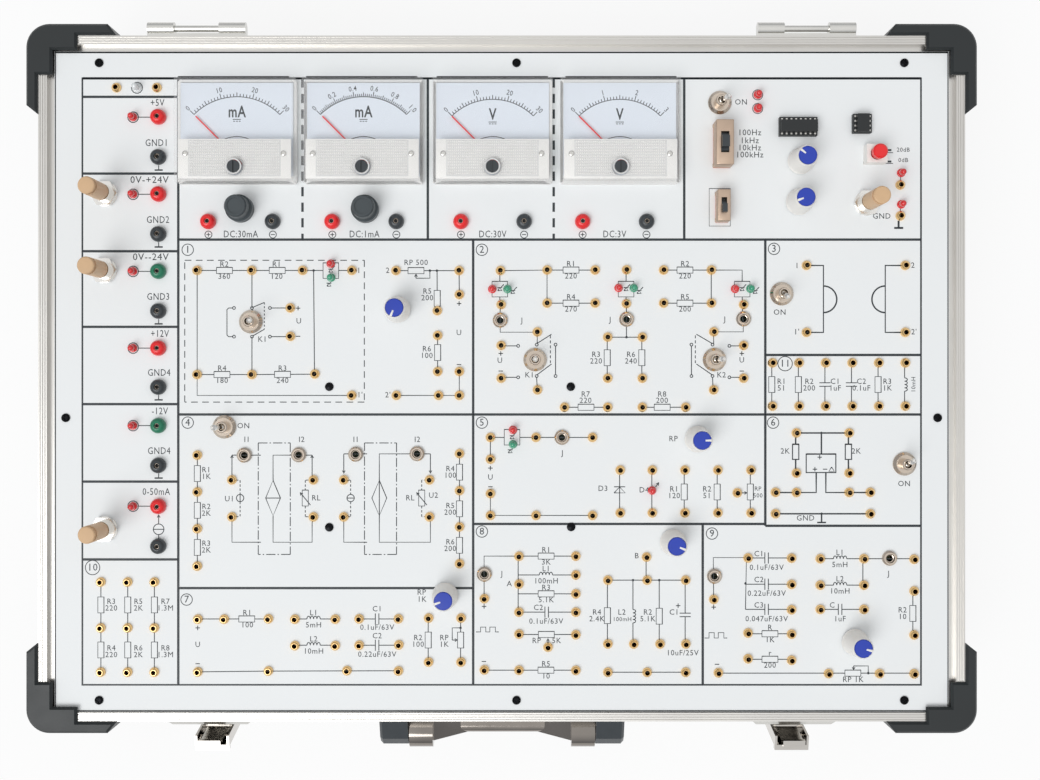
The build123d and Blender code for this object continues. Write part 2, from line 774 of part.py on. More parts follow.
# Sockets and lamps
def gold_socket():
    tail = board_top - panel_top
    return turned(
        (gold_bore, tail), (gold_barrel, tail), (gold_barrel, 0), (gold_flange, 0),
        (gold_flange, 0.7), (2.2, 1.7), (1.6, gold_height), (1.35, gold_height), (gold_bore, 1.6),
    )


def power_socket():
    flange = turned(
        (power_bore, -power_tail), (power_barrel, -power_tail), (power_barrel, 0),
        (power_flange, 0), (power_flange, 1.6), (3.4, 3.6), (2.2, power_height),
        (1.9, power_height), (1.5, 3.4), (power_bore, 3.4),
    )
    ring_nut = nut(8.0, power_barrel + 0.02, -panel_thickness - 2.0, -panel_thickness)
    return flange, ring_nut


def jack_socket():
    tail = board_top - panel_top
    body = turned(
        (jack_bore, tail), (jack_barrel, tail), (jack_barrel, 0), (jack_flange, 0),
        (jack_flange, 1.2), (3.2, jack_height), (2.5, jack_height), (2.2, 1.0), (jack_bore, 0.8),
    )
    return body


def lamp():
    dome = rod(led_radius, -panel_thickness - 4.0, led_height - led_radius)
    dome += Pos(0, 0, led_height - led_radius) * Sphere(led_radius)
    return dome + rod(led_flange, 0, 0.8)


# Knobs, switches and fuses
def potentiometer():
    # The board is cleared by the body, which hangs from its bushing and nut
    body = rod(pot_body_radius, -panel_thickness - pot_body_depth, -panel_thickness)
    body += rod(pot_bushing, -panel_thickness - 1, pot_bushing_height)
    body -= rod(shaft_radius + run_gap, 1 - panel_thickness - pot_body_depth, pot_bushing_height + 1)
    return [body, nut(pot_nut_flats, pot_bushing, 0, 2.2)]


def knob():
    # Shaft, tapered skirt and coloured cap; pointer mark along +X before it is turned
    skirt = turned(
        (0, knob_foot), (knob_radius, knob_foot), (knob_radius, knob_foot + 1.4),
        (knob_radius - 0.4, knob_foot + 1.6), (knob_top_radius, knob_top - 2.0),
        (knob_top_radius - 0.4, knob_top - 1.5), (0, knob_top - 1.5),
    )
    skirt -= rod(knob_cavity, knob_foot - 1, pot_bushing_height + 1.0)
    skirt -= rod(shaft_radius, 0, knob_top - 5.0)
    shaft = rod(shaft_radius, 1.5 - panel_thickness - pot_body_depth, knob_top - 5.0)
    cap = rod(knob_cap_radius, knob_top - 1.5, knob_top)
    mark = Pos(knob_cap_radius - 1.4, 0, knob_top) * Box(3.2, 1.3, 1.6)
    return [skirt, shaft, cap - mark]


def turn_pot():
    body = rod(turn_pot_radius, -panel_thickness - turn_pot_depth, -panel_thickness)
    body += rod(turn_bushing, -panel_thickness - 1, turn_bushing_height)
    body -= rod(shaft_radius + run_gap, 2 - panel_thickness - turn_pot_depth, turn_bushing_height + 1)
    washer = rod(turn_nut_flats / 2 + 0.5, 0, 0.8) - rod(turn_bushing, -1, 2)
    return [body, washer, nut(turn_nut_flats, turn_bushing, 0.8, 3.6)]


def turn_knob():
    skirt_low = turn_bushing_height + 0.8
    radius = turn_knob_radius
    skirt = turned(
        (0, skirt_low), (radius, skirt_low), (radius, turn_knob_top - 1.2),
        (radius - 1.2, turn_knob_top - 0.2), (0, turn_knob_top),
    )
    shaft_top = turn_knob_top - 6.0
    skirt -= rod(shaft_radius, skirt_low - 1, shaft_top)
    return [skirt, rod(shaft_radius, 2.5 - panel_thickness - turn_pot_depth, shaft_top)]


def toggle_switch():
    # Body on the board side, threaded bushing through the panel, and a round dress nut
    body = block(
        toggle_body_length, toggle_body_width, -panel_thickness - toggle_body_depth, -panel_thickness)
    body += turned(
        (0, -panel_thickness - 1), (toggle_bushing, -panel_thickness - 1),
        (toggle_bushing, toggle_height - 0.4), (toggle_bushing - 0.4, toggle_height), (0, toggle_height),
    )
    body -= rod(toggle_bore, 0.5 - panel_thickness, toggle_height + 1)
    pin_hole = Rot(90, 0, 0) * Cylinder(toggle_pin_radius + run_gap, 2 * (toggle_pin_reach + run_gap))
    body -= Pos(0, 0, toggle_pivot_rise()) * pin_hole
    outline = [(toggle_bushing, 0), (toggle_nut_radius, 0), (toggle_nut_radius, 1.0)]
    outline += [(toggle_nut_radius - 1.4, toggle_nut), (toggle_bushing, toggle_nut)]
    return [body, turned(*outline)]


def toggle_pivot_rise():
    return toggle_height - 2.6


def toggle_lever(way, lean):
    # Ball and cross pin in the bushing and a tapered bat, leaned towards the angle way
    pivot = toggle_pivot_rise()
    ball = toggle_bore - run_gap
    reach = toggle_lever_top - pivot
    bat = turned(
        (0, -3.0), (0.8, -3.0), (0.9, 0), (1.0, toggle_height - pivot), (toggle_lever_tip, reach - 3),
        (toggle_lever_tip, reach - 1.0), (toggle_lever_tip - 0.8, reach), (0, reach),
    )
    cross_pin = Rot(90, 0, 0) * Cylinder(toggle_pin_radius, 2 * toggle_pin_reach)
    lever = Rot(0, 0, way) * Rot(0, lean, 0) * (bat + Sphere(ball) + cross_pin)
    return Pos(0, 0, pivot) * lever


def fuse_holder():
    holder = rod(fuse_bushing, -fuse_tail, 0.5) + rod(fuse_cap_radius, 0, 1.4)
    holder -= rod(fuse_bushing - 1.2, 2 - fuse_tail, 2)
    return [holder, nut(15.0, fuse_bushing, -panel_thickness - 3.0, -panel_thickness)]


def fuse_cap():
    # Bayonet cap, its carrier and the glass fuse that comes out with it
    radius = fuse_cap_radius
    cap = turned(
        (0, 1.8), (radius, 1.8), (radius, 5.5), (radius - 1.0, 6.2), (radius - 1.3, fuse_cap_top - 1),
        (radius - 2.0, fuse_cap_top), (0, fuse_cap_top),
    )
    cap -= rod(radius - 3.0, fuse_cap_top - 0.5, fuse_cap_top + 1)
    carrier = fuse_bushing - 1.2 - 0.3
    cap += rod(carrier, -6.0, 1.9) - rod(fuse_radius, -7.0, 0)
    return [cap, rod(fuse_radius, -20.0, 0)]


def slide_switch(width, length, height, slot_width, slot_length):
    shell = block(width, length, 1.2, height)
    shell -= block(width - 2 * slide_wall, length - 2 * slide_wall, 1.2, height - slide_wall)
    shell -= block(slot_width, slot_length, height - slide_wall - 1, height + 1)
    base = block(width, length, 0, 1.2)
    base += block(width - 3.4, length - 4.4, -panel_thickness - 3.0, 0)
    return [shell, base]


def slider(width, height, slot_width, slider_length):
    top = height - slide_wall - 0.2
    carriage = block(width - 2 * slide_wall - 0.4, slider_length + 3.0, top - 3.0, top)
    return carriage + block(slot_width - 0.4, slider_length, top - 1, height + slider_proud)


def push_switch():
    case = block(push_length, push_width, 0, push_height)
    case += block(push_length - 4.4, push_width - 3.4, -panel_thickness - 3.0, 0)
    return case - block(5.2, 5.2, 1.0, push_height + 1)


def push_button():
    stem = block(5.0, 5.0, push_travel + 1.4, push_height + push_travel + 1.0)
    cap_low = push_height + push_travel + 0.4
    cap = turned(
        (0, cap_low), (push_button_radius, cap_low), (push_button_radius, push_button_top - 0.8),
        (push_button_radius - 0.8, push_button_top), (0, push_button_top),
    )
    return stem + cap


def ic_socket(count):
    length = count * chip_pitch
    socket = block(length, chip_width, 0, 3.4)
    for side in (-1, 1):
        for step in range(count):
            x = (step - (count - 1) / 2) * chip_pitch
            socket -= Pos(x, side * 3.81, 3.4) * Box(1.0, 1.3, 1.6)
    socket += block(length - 2.4, chip_width - 2.0, -panel_thickness - 2.0, 0.2)
    chip = block(length - 0.6, chip_width - 3.6, 3.4, chip_height)
    return [socket, chip]


# Boards and supply inside the case
def circuit_board():
    # L-shaped board soldered to the tails of the gold sockets and jacks
    left, right = 54.0, 452.4
    back, front = 92.0, 324.6
    wing_left, wing_back = 5.0, 266.0
    sheet = Pos(*xy((left + right) / 2, (back + front) / 2)) * Rectangle(
        (right - left) * column_pitch, (front - back) * row_pitch)
    sheet += Pos(*xy((wing_left + left + 2) / 2, (wing_back + front) / 2)) * Rectangle(
        (left + 2 - wing_left) * column_pitch, (front - wing_back) * row_pitch)
    sheet -= [hole(place, screw_shank + fit_gap) for place in board_screws]
    board = extrude(sheet, -circuit_board_thickness)
    generator = Pos(*xy(395.0, 46.0)) * Rectangle(112.0, 72.0)
    generator -= hole(turn_pots["amplitude_knob"], turn_pot_radius + 1.0)
    return [Pos(0, 0, board_top) * part for part in (board, extrude(generator, -circuit_board_thickness))]


def generator_posts():
    # Pillars that hang the generator board from the panel
    post = rod(spacer_radius, board_top - panel_top, -panel_thickness)
    return copies(post, [(353.0, 78.0), (446.5, 78.5), (402.0, 14.0), (446.5, 14.0)])


def supply_x():
    return cavity_length / 2 - 30.0 - supply_board_length / 2


def transformer():
    place = Pos(-cavity_length / 2 + 60.0, case_y + 20.0, floor_top)
    core = block(core_length, core_width, 0, core_height)
    leg = core_length / 6
    for side in (-1, 1):
        core -= Pos(side * core_length / 4, 0, core_height / 2) * Box(
            leg, core_width + 2, core_height - 2 * leg)
    bobbin = block(core_length - 2 * leg, core_width + 2 * bobbin_margin, leg, core_height - leg)
    bobbin -= block(leg * 2, core_width, 0, core_height)
    for side in (-1, 1):
        bobbin -= Pos(side * (core_length / 2), 0, core_height / 2) * Box(
            leg * 2, core_width, core_height)
    clamp = block(core_length + 26, core_width, 0, 1.5)
    return [place * core, place * bobbin, place * (clamp - block(core_length, core_width + 2, -1, 2))]


def supply_board():
    standoff = 8.0
    low = floor_top + standoff
    top = low + circuit_board_thickness
    board = block(supply_board_length, supply_board_width, low, top)
    x = supply_board_length / 2 - 6
    y = supply_board_width / 2 - 6
    pillars = [Pos(sx * x, sy * y, 0) * rod(spacer_radius, floor_top, low)
               for sx in (-1, 1) for sy in (-1, 1)]
    cans = [Pos(-60 + 24 * step, -30, 0) * rod(capacitor_radius, top, top + capacitor_height)
            for step in range(4)]
    sink = block(90, 4, top, top + heat_sink_height)
    for step in range(9):
        sink += Pos(-40 + 10 * step, 8, 0) * block(2, 14, top, top + heat_sink_height)
    regulators = [Pos(-30 + 20 * step, -4.2, 0) * block(10, 4.4, top, top + 19) for step in range(4)]
    parts = [board, *pillars, *cans, Pos(0, 15, 0) * sink]
    parts += [Pos(0, 15, 0) * chip for chip in regulators]
    return [Pos(supply_x(), case_y - 20.0, 0) * part for part in parts]


def inlet_at():
    return Pos(inlet_x, back_y, rim_top - base_depth / 2 - 4)


def mains_inlet():
    # Flanged three-pin inlet in the back wall, its recess open to the back
    body = Pos(0, -inlet_depth / 2, 0) * Box(inlet_length, inlet_depth, inlet_height)
    flange = Pos(0, inlet_flange / 2 - profile_wall, 0) * Box(
        inlet_length + 22, inlet_flange, inlet_height + 4)
    inlet = body + flange
    mouth = inlet_flange - profile_wall
    inlet -= Pos(0, mouth - inlet_cavity_depth / 2, 0) * Box(
        inlet_cavity_length, inlet_cavity_depth, inlet_cavity_height)
    pins = []
    for x, z in ((-7.0, -2.0), (0.0, 2.0), (7.0, -2.0)):
        pin = Pos(x, mouth - inlet_cavity_depth + 4.0, z) * Box(2.0, 12.0, 4.0)
        inlet -= pin
        pins.append(pin)
    return [inlet_at() * part for part in (inlet, *pins)]


# Case nodes
save("bottom_board", bottom_board())
save("wall_boards", *wall_boards(), *support_battens())
save("edge_profiles", *edge_profiles())
save("corner_guards", *four_corners(corner_guard()))
save("rubber_feet", *[place * rubber_foot() for place in foot_places()])
save("lid_hinges", *lid_hinges())
right_mount = handle_mount()
left_mount = mirror(right_mount, about=Plane.YZ)
save("handle_mounts", handle_axis() * right_mount, handle_axis() * left_mount)
save("handle", handle())
save("latch_plates", *[latch_plate_at(side) * part for side in (-1, 1) for part in latch_plate()])
for name, side in (("left", -1), ("right", 1)):
    opened = latch_pivot(side) * Rot(lever_open, 0, 0)
    save(f"latch_lever_{name}", opened * latch_lever())
    save(f"latch_claw_{name}", opened * claw_place * latch_claw())

# Panel nodes
save("face_panel", face_panel())
save("fasteners", *fasteners())
save("gold_sockets", *copies(gold_socket(), gold_places))
save("power_sockets", *[part for shape in power_socket() for part in copies(shape, power_places)])
save("jack_sockets", *copies(jack_socket(), jack_places))
save("indicator_lamps", *copies(lamp(), red_lamps + green_lamps + clear_lamps + supply_lamps))
chip_parts = []
for u, v, count, turn in chips:
    chip_parts += [spot(u, v) * Rot(0, 0, turn) * part for part in ic_socket(count)]
save("ic_sockets", *chip_parts)

# Meter nodes
save("meter_cases", *[part for shape in meter_case() for part in copies(shape, meter_places)])
save("meter_covers", *copies(meter_cover(), meter_places))
for number, place in enumerate(meter_places, start=1):
    save(f"meter_pointer_{number}", spot(*place) * Pos(0, -pivot_drop, 0) * meter_pointer())
    save(f"zero_screw_{number}", spot(*place) * Pos(0, -zero_screw_drop, 0) * zero_screw())

# Knob and switch nodes
pots = [part for shape in potentiometer() for part in copies(shape, small_pots)]
pots += [part for shape in turn_pot() for part in copies(shape, turn_pots.values())]
save("potentiometers", *pots)
for name, (u, v, facing) in knobs.items():
    save(name, *[spot(u, v) * Rot(0, 0, facing) * part for part in knob()])
for name, place in turn_pots.items():
    save(name, *[spot(*place) * part for part in turn_knob()])
switch_bodies = []
for name, (u, v, way, lean) in toggles.items():
    save(name, spot(u, v) * toggle_lever(way, lean))
    switch_bodies += [spot(u, v) * Rot(0, 0, way) * part for part in toggle_switch()]
save("toggle_switches", *switch_bodies)
save("fuse_holders", *[part for shape in fuse_holder() for part in copies(shape, fuse_places)])
for number, place in enumerate(fuse_places, start=1):
    save(f"fuse_cap_{number}", *[spot(*place) * part for part in fuse_cap()])
slide_cases = []
for name, (u, v, width, length, height, slot_w, slot_l, slider_l, offset) in slide_switches.items():
    slide_cases += [spot(u, v) * part for part in slide_switch(width, length, height, slot_w, slot_l)]
    save(f"{name}_slider", spot(u, v) * Pos(0, offset, 0) * slider(width, height, slot_w, slider_l))
save("selector_switches", *slide_cases, spot(*push_place) * push_switch())
save("push_button", spot(*push_place) * push_button())

# Inner nodes
save("circuit_boards", *circuit_board(), *generator_posts())
save("power_supply", *transformer(), *supply_board())
save("mains_inlet", *mains_inlet())
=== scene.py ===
# %% [markdown]
# A bench trainer for electrical circuits is a carrying case with a white panel in it. The case, the
# sockets, the switches and the knobs come ready from the CAD frame at their real size. This lesson
# gives them their finishes, prints the panel, and models the pieces whose looks need more than CAD:
# knobs, lamps, coloured sockets, meter dials and switch cases.

# %% The frame
import math

import bpy
from mathutils import Matrix, Vector


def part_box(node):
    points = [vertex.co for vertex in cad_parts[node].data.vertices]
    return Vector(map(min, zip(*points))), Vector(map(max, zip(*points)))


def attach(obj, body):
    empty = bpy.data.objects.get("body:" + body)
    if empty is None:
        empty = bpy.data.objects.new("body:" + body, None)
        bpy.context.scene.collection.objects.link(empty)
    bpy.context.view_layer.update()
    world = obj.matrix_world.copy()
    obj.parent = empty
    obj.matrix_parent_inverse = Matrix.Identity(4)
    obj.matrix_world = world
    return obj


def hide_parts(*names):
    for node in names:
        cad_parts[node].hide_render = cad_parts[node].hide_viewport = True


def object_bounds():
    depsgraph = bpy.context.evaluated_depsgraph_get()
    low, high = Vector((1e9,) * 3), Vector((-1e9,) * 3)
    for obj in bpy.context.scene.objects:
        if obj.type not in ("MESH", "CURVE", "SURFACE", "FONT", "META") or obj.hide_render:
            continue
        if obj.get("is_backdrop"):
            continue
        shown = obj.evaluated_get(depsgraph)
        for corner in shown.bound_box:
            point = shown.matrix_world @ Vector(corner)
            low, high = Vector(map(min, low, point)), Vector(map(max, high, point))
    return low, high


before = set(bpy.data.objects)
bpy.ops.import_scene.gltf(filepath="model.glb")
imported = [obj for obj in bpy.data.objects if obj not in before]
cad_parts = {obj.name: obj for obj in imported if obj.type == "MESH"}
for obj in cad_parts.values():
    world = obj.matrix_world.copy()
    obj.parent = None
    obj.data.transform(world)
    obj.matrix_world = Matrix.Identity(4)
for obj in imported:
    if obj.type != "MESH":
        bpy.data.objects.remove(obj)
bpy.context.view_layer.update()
MM = 0.001

# %% [markdown]
# The photograph was taken from straight above. A camera that looks down its own -Z needs no turning:
# it only has to stand over the panel. Its height and lens follow from how much the knobs and the
# tall corners lean outwards in the picture.

# %% Camera
camera_height = 670.0
camera_x, camera_y = 9.9, -0.2
picture_width = 1040
focal_pixels = 1239.5
sensor_width = 36.0
panel_low, panel_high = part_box("face_panel")
bpy.ops.object.camera_add(
    location=(camera_x * MM, camera_y * MM, panel_high.z + camera_height * MM), rotation=(0, 0, 0))
camera = bpy.context.object
camera.data.sensor_width = sensor_width
camera.data.lens = focal_pixels / picture_width * sensor_width
bpy.context.scene.camera = camera
print("lens in mm:", round(camera.data.lens, 1))

# %% [markdown]
# Everything on the panel is printed or mounted on one grid: 453 steps along and 328 steps down, from
# the corner of the printed border. Working the places out from the panel's own box keeps the print
# on the panel if the panel ever changes.

# %% Places on the panel
border_margin_x, border_margin_y = 15.1, 14.5
grid_columns, grid_rows = 453.0, 328.0
column_pitch = (panel_high.x - panel_low.x - 2 * border_margin_x * MM) / grid_columns
row_pitch = (panel_high.y - panel_low.y - 2 * border_margin_y * MM) / grid_rows


def place(u, v, rise=0.0):
    """Column u and row v of the print, and millimetres above the panel, as a point."""
    x = panel_low.x + border_margin_x * MM + u * column_pitch
    y = panel_high.y - border_margin_y * MM - v * row_pitch
    return Vector((x, y, panel_high.z + rise * MM))


print("one step in mm:", round(column_pitch / MM, 4), round(row_pitch / MM, 4))

# %% [markdown]
# A finish is a small graph of shader nodes. Written node by node it is long and hard to read, so one
# class wraps a socket and lets sums be written as sums, and another holds a material and makes any
# node from its type, its settings and its inputs.

# %% Shader sums
class Wire:
    """A socket that can be added, multiplied and so on."""

    def __init__(self, finish, socket):
        self.finish = finish
        self.socket = socket

    def sum(self, operation, other, turned=False):
        first, second = (other, self) if turned else (self, other)
        return self.finish.node("Math", {"operation": operation}, {0: first, 1: second})

    def __add__(self, other):
        return self.sum("ADD", other)

    def __sub__(self, other):
        return self.sum("SUBTRACT", other)

    def __rsub__(self, other):
        return self.sum("SUBTRACT", other, turned=True)

    def __mul__(self, other):
        return self.sum("MULTIPLY", other)

    def __truediv__(self, other):
        return self.sum("DIVIDE", other)

    def __gt__(self, other):
        return self.sum("GREATER_THAN", other)

    def __lt__(self, other):
        return self.sum("LESS_THAN", other)

    def __abs__(self):
        return self.sum("ABSOLUTE", 0.0)

    def least(self, other):
        return self.sum("MINIMUM", other)

    __radd__ = __add__
    __rmul__ = __mul__


class Finish:
    """A material with one Principled shader and the nodes that feed it."""

    def __init__(self, name, colour, roughness, **constants):
        self.material = bpy.data.materials.new(name)
        self.material.use_nodes = True
        self.tree = self.material.node_tree
        self.shader = self.tree.nodes["Principled BSDF"]
        self.colour = tint(colour)
        self.roughness = roughness
        self.set("Base Color", self.colour)
        self.set("Roughness", roughness)
        for socket, value in constants.items():
            self.set(socket.replace("_", " "), value)

    def set(self, socket, value):
        if isinstance(value, Wire):
            self.tree.links.new(value.socket, self.shader.inputs[socket])
        else:
            self.shader.inputs[socket].default_value = value

    def node(self, kind, settings=None, sockets=None, output=0):
        made = self.tree.nodes.new("ShaderNode" + kind)
        for name, value in (settings or {}).items():
            setattr(made, name, value)
        for name, value in (sockets or {}).items():
            if isinstance(value, Wire):
                self.tree.links.new(value.socket, made.inputs[name])
            else:
                made.inputs[name].default_value = value
        return Wire(self, made.outputs[output])

    def spot(self):
        """Where on the piece a point is, in metres."""
        return self.node("TexCoord", output="Object")

    def axes(self):
        split = self.node("SeparateXYZ", sockets={"Vector": self.spot()})
        outputs = split.socket.node.outputs
        return [Wire(self, outputs[axis]) for axis in "XYZ"]

    def noise(self, size, detail=2.0, stretch=(1.0, 1.0, 1.0)):
        """Cloudy noise whose patches are about size millimetres."""
        scaled = self.node("Mapping", sockets={"Vector": self.spot(), "Scale": stretch})
        return self.node("TexNoise", sockets={
            "Vector": scaled, "Scale": 1.0 / (size * MM), "Detail": detail})

    def mix(self, mask, first, second):
        return self.node("Mix", {"data_type": "RGBA"}, {0: mask, 6: first, 7: second}, output=2)

    def bump(self, height, depth, strength=1.0):
        """Makes the surface stand up by depth millimetres where height is 1."""
        self.set("Normal", self.node("Bump", sockets={
            "Height": height, "Distance": depth * MM, "Strength": strength}))

    def shade(self, amount):
        """The finish's own colour made darker or lighter."""
        return tuple(min(1.0, part * amount) for part in self.colour[:3]) + (1.0,)

    def mottle(self, size, amount):
        """Uneven colour and gloss, as handled surfaces have."""
        cloud = self.noise(size)
        self.set("Base Color", self.mix(cloud, self.shade(1 - amount), self.shade(1 + amount)))
        self.set("Roughness", cloud * (0.6 * self.roughness) + 0.7 * self.roughness)
        return self


def tint(code):
    """A hex colour as the linear values that a shader takes."""
    parts = [int(code[i:i + 2], 16) / 255 for i in (1, 3, 5)]
    return tuple(p / 12.92 if p <= 0.04045 else ((p + 0.055) / 1.055) ** 2.4 for p in parts) + (1.0,)


print("shader helpers are ready")

# %% [markdown]
# Moulded plastic is never one flat colour: it has a faint cloudiness, its gloss changes from place to
# place, and a fine grain breaks up the highlights. One function makes the whole family, and each
# member only names its colour, gloss and grain.

# %% Plastics
def moulded(name, colour, roughness=0.35, grain=0.35, depth=0.012, cloud=9.0, amount=0.06, **constants):
    finish = Finish(name, colour, roughness, **constants).mottle(cloud, amount)
    finish.bump(finish.noise(grain, 3.0), depth, 0.6)
    return finish


red_plastic = moulded("red_plastic", "#EE2226", 0.32, Coat_Weight=0.12, Coat_Roughness=0.2)
black_plastic = moulded("black_plastic", "#33393D", 0.34, amount=0.12)
green_plastic = moulded("green_plastic", "#1D7A5A", 0.3)
blue_plastic = moulded("blue_plastic", "#1B3CB2", 0.34, Coat_Weight=0.12, Coat_Roughness=0.2)
white_plastic = moulded("white_plastic", "#F2F0EC", 0.42, amount=0.025)
tan_plastic = moulded("tan_plastic", "#D8B48C", 0.5, grain=0.5, depth=0.02, amount=0.09)
chip_plastic = moulded("chip_plastic", "#171B1D", 0.5, grain=0.25, amount=0.15)
fuse_plastic = moulded("fuse_plastic", "#3B4347", 0.4, amount=0.1)
meter_plastic = moulded("meter_plastic", "#F4F4F2", 0.35, amount=0.03)
guard_plastic = moulded("guard_plastic", "#181E20", 0.45, grain=1.1, depth=0.05, cloud=22.0, amount=0.2)
rubber = moulded("rubber", "#1E1F20", 0.8, grain=0.6, depth=0.05, amount=0.2)
print("plastics:", sum(1 for material in bpy.data.materials if material.name.endswith("plastic")))

# %% [markdown]
# Metals take their look from what they mirror, so their colour stays pale and their roughness does
# the work. Rolled and drawn metal carries fine lines along its length: a noise that is squeezed across
# the grain and stretched along it.

# %% Metals
def metal(name, colour, roughness, cloud=7.0, amount=0.08, line_stretch=(1.0, 1.0, 1.0), depth=0.004):
    finish = Finish(name, colour, roughness, Metallic=1.0).mottle(cloud, amount)
    finish.bump(finish.noise(0.5, 2.0, line_stretch), depth, 0.5)
    return finish


chrome = metal("chrome", "#C9C5C0", 0.1, cloud=14.0)
# The handle's chrome is darker and clouded light and dark in large patches: painted reflection of its
# surroundings.
handle_chrome_painted_reflection = metal("handle_chrome_painted_reflection", "#8F8983", 0.1, cloud=26.0, amount=0.3)
nickel = metal("nickel", "#C9BCAE", 0.18)
silver = metal("silver", "#E2E0DC", 0.2)
gold = metal("gold", "#F0C98C", 0.18, cloud=3.0, amount=0.12)
plated_steel = metal("plated_steel", "#D4D3CF", 0.22, cloud=18.0)
bright_tin = metal("bright_tin", "#DCDAD6", 0.3)
black_screw = metal("black_screw", "#1B1C1E", 0.35)


def brushed_aluminium():
    """Drawn profiles: the lines run along each bar and meet at the mitres."""
    low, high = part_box("edge_profiles")
    middle_y = (low.y + high.y) / 2
    finish = Finish("brushed_aluminium", "#D5D3CF", 0.34, Metallic=1.0)
    x, y, z = finish.axes()
    from_side = high.x - abs(x)
    from_end = (high.y - middle_y) - abs(y - middle_y)
    inset = from_side.least(from_end)
    across = finish.node("CombineXYZ", sockets={0: inset, 1: z, 2: 0.0})
    fine = finish.node("TexNoise", sockets={"Vector": across, "Scale": 2600.0, "Detail": 3.0})
    broad = finish.noise(40.0)
    finish.set("Base Color", finish.mix(fine * 0.7 + broad * 0.3, finish.shade(0.8), finish.shade(1.14)))
    finish.set("Roughness", fine * 0.16 + broad * 0.1 + 0.2)
    finish.bump(fine, 0.008, 0.5)
    return finish


aluminium = brushed_aluminium()
rim_rise = (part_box("edge_profiles")[1].z - panel_high.z) / MM
print("metals are ready, the rim is", round(rim_rise, 1), "mm proud")

# %% [markdown]
# The panel is a sheet of white laminate with a light gloss. The eye notices at once if it is too
# even, so a very faint cloudiness and a fine orange-peel are laid over it. The walls under the rim
# are covered in pebbled sheet, which a Voronoi pattern gives.

# %% Sheet materials
panel_white = Finish("panel_white", "#F1F4F5", 0.5, Coat_Weight=0.1, Coat_Roughness=0.4).mottle(55.0, 0.012)
panel_white.bump(panel_white.noise(1.6, 2.0), 0.006, 0.4)
print_ink = moulded("print_ink", "#272E33", 0.45, amount=0.1)


def pebbled(name, colour, pebble=1.6, depth=0.12, roughness=0.5):
    finish = Finish(name, colour, roughness).mottle(30.0, 0.06)
    cells = finish.node("TexVoronoi", {"feature": "SMOOTH_F1"}, {
        "Vector": finish.spot(), "Scale": 1.0 / (pebble * MM), "Smoothness": 0.6})
    finish.bump(1.0 - cells, depth, 0.7)
    return finish


wall_sheet = pebbled("wall_sheet", "#A9ACAE")
bottom_sheet = pebbled("bottom_sheet", "#54585B", pebble=2.2)


def circuit_laminate():
    """Green solder mask with the paler lines of copper under it."""
    finish = Finish("circuit_laminate", "#1F6B45", 0.3)
    grid = finish.node("TexVoronoi", {"feature": "F1", "distance": "MANHATTAN"}, {
        "Vector": finish.spot(), "Scale": 160.0})
    tracks = abs(grid - 0.5) < 0.06
    finish.set("Base Color", finish.mix(tracks, finish.shade(0.85), finish.shade(1.6)))
    finish.bump(tracks, 0.03, 0.6)
    return finish


laminate = circuit_laminate()


def transformer_varnish():
    """Stacked laminations under varnish, seen as fine level lines."""
    finish = Finish("transformer_varnish", "#6B625A", 0.4, Metallic=0.6)
    z = finish.axes()[2]
    layers = finish.node("TexNoise", {"noise_dimensions": "1D"}, {"W": z, "Scale": 1800.0})
    finish.set("Base Color", finish.mix(layers, finish.shade(0.7), finish.shade(1.2)))
    finish.set("Roughness", layers * 0.2 + 0.3)
    finish.bump(layers, 0.05, 0.5)
    return finish


varnish = transformer_varnish()
print("sheet materials:", panel_white.material.name, wall_sheet.material.name)

# %% [markdown]
# Lamps are tinted clear plastic: a saturated body colour under a very smooth skin gives the bright
# spot that a real lamp shows. The meter covers are thin and clear, so light goes nearly straight
# through: a Mix Shader lets a transparent shader take over except where the surface turns away.

# %% Clear plastics
def lens(name, colour, amount):
    finish = Finish(name, colour, 0.1, Coat_Weight=0.6, Coat_Roughness=0.04)
    finish.mottle(2.0, amount)
    return finish


red_lens = lens("red_lens", "#DE1F24", 0.12)
green_lens = lens("green_lens", "#2E9E78", 0.12)
clear_lens = lens("clear_lens", "#E6EAEB", 0.05)


def see_through(name, colour, least=0.02, gain=0.22):
    finish = Finish(name, colour, 0.06, Specular_IOR_Level=0.6)
    facing = finish.node("LayerWeight", sockets={"Blend": 0.35}, output="Facing")
    haze = finish.noise(16.0)
    clear = finish.node("BsdfTransparent", sockets={"Color": (1, 1, 1, 1)})
    share = facing * gain + haze * 0.02 + least
    both = finish.node("MixShader", sockets={0: share, 1: clear})
    tree = finish.tree
    tree.links.new(finish.shader.outputs[0], both.socket.node.inputs[2])
    tree.links.new(both.socket, tree.nodes["Material Output"].inputs["Surface"])
    return finish


clear_cover = see_through("clear_cover", "#FFFFFF")
print("clear plastics are ready")

# %% [markdown]
# The CAD pieces whose shape is already right only need their finish. The table goes from each finish
# to the nodes that wear it; all that is left over is named too, so that nothing stays plain.

# %% Finishes of the CAD pieces
def wear(node, finish):
    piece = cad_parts[node]
    piece.data.materials.clear()
    piece.data.materials.append(finish.material)


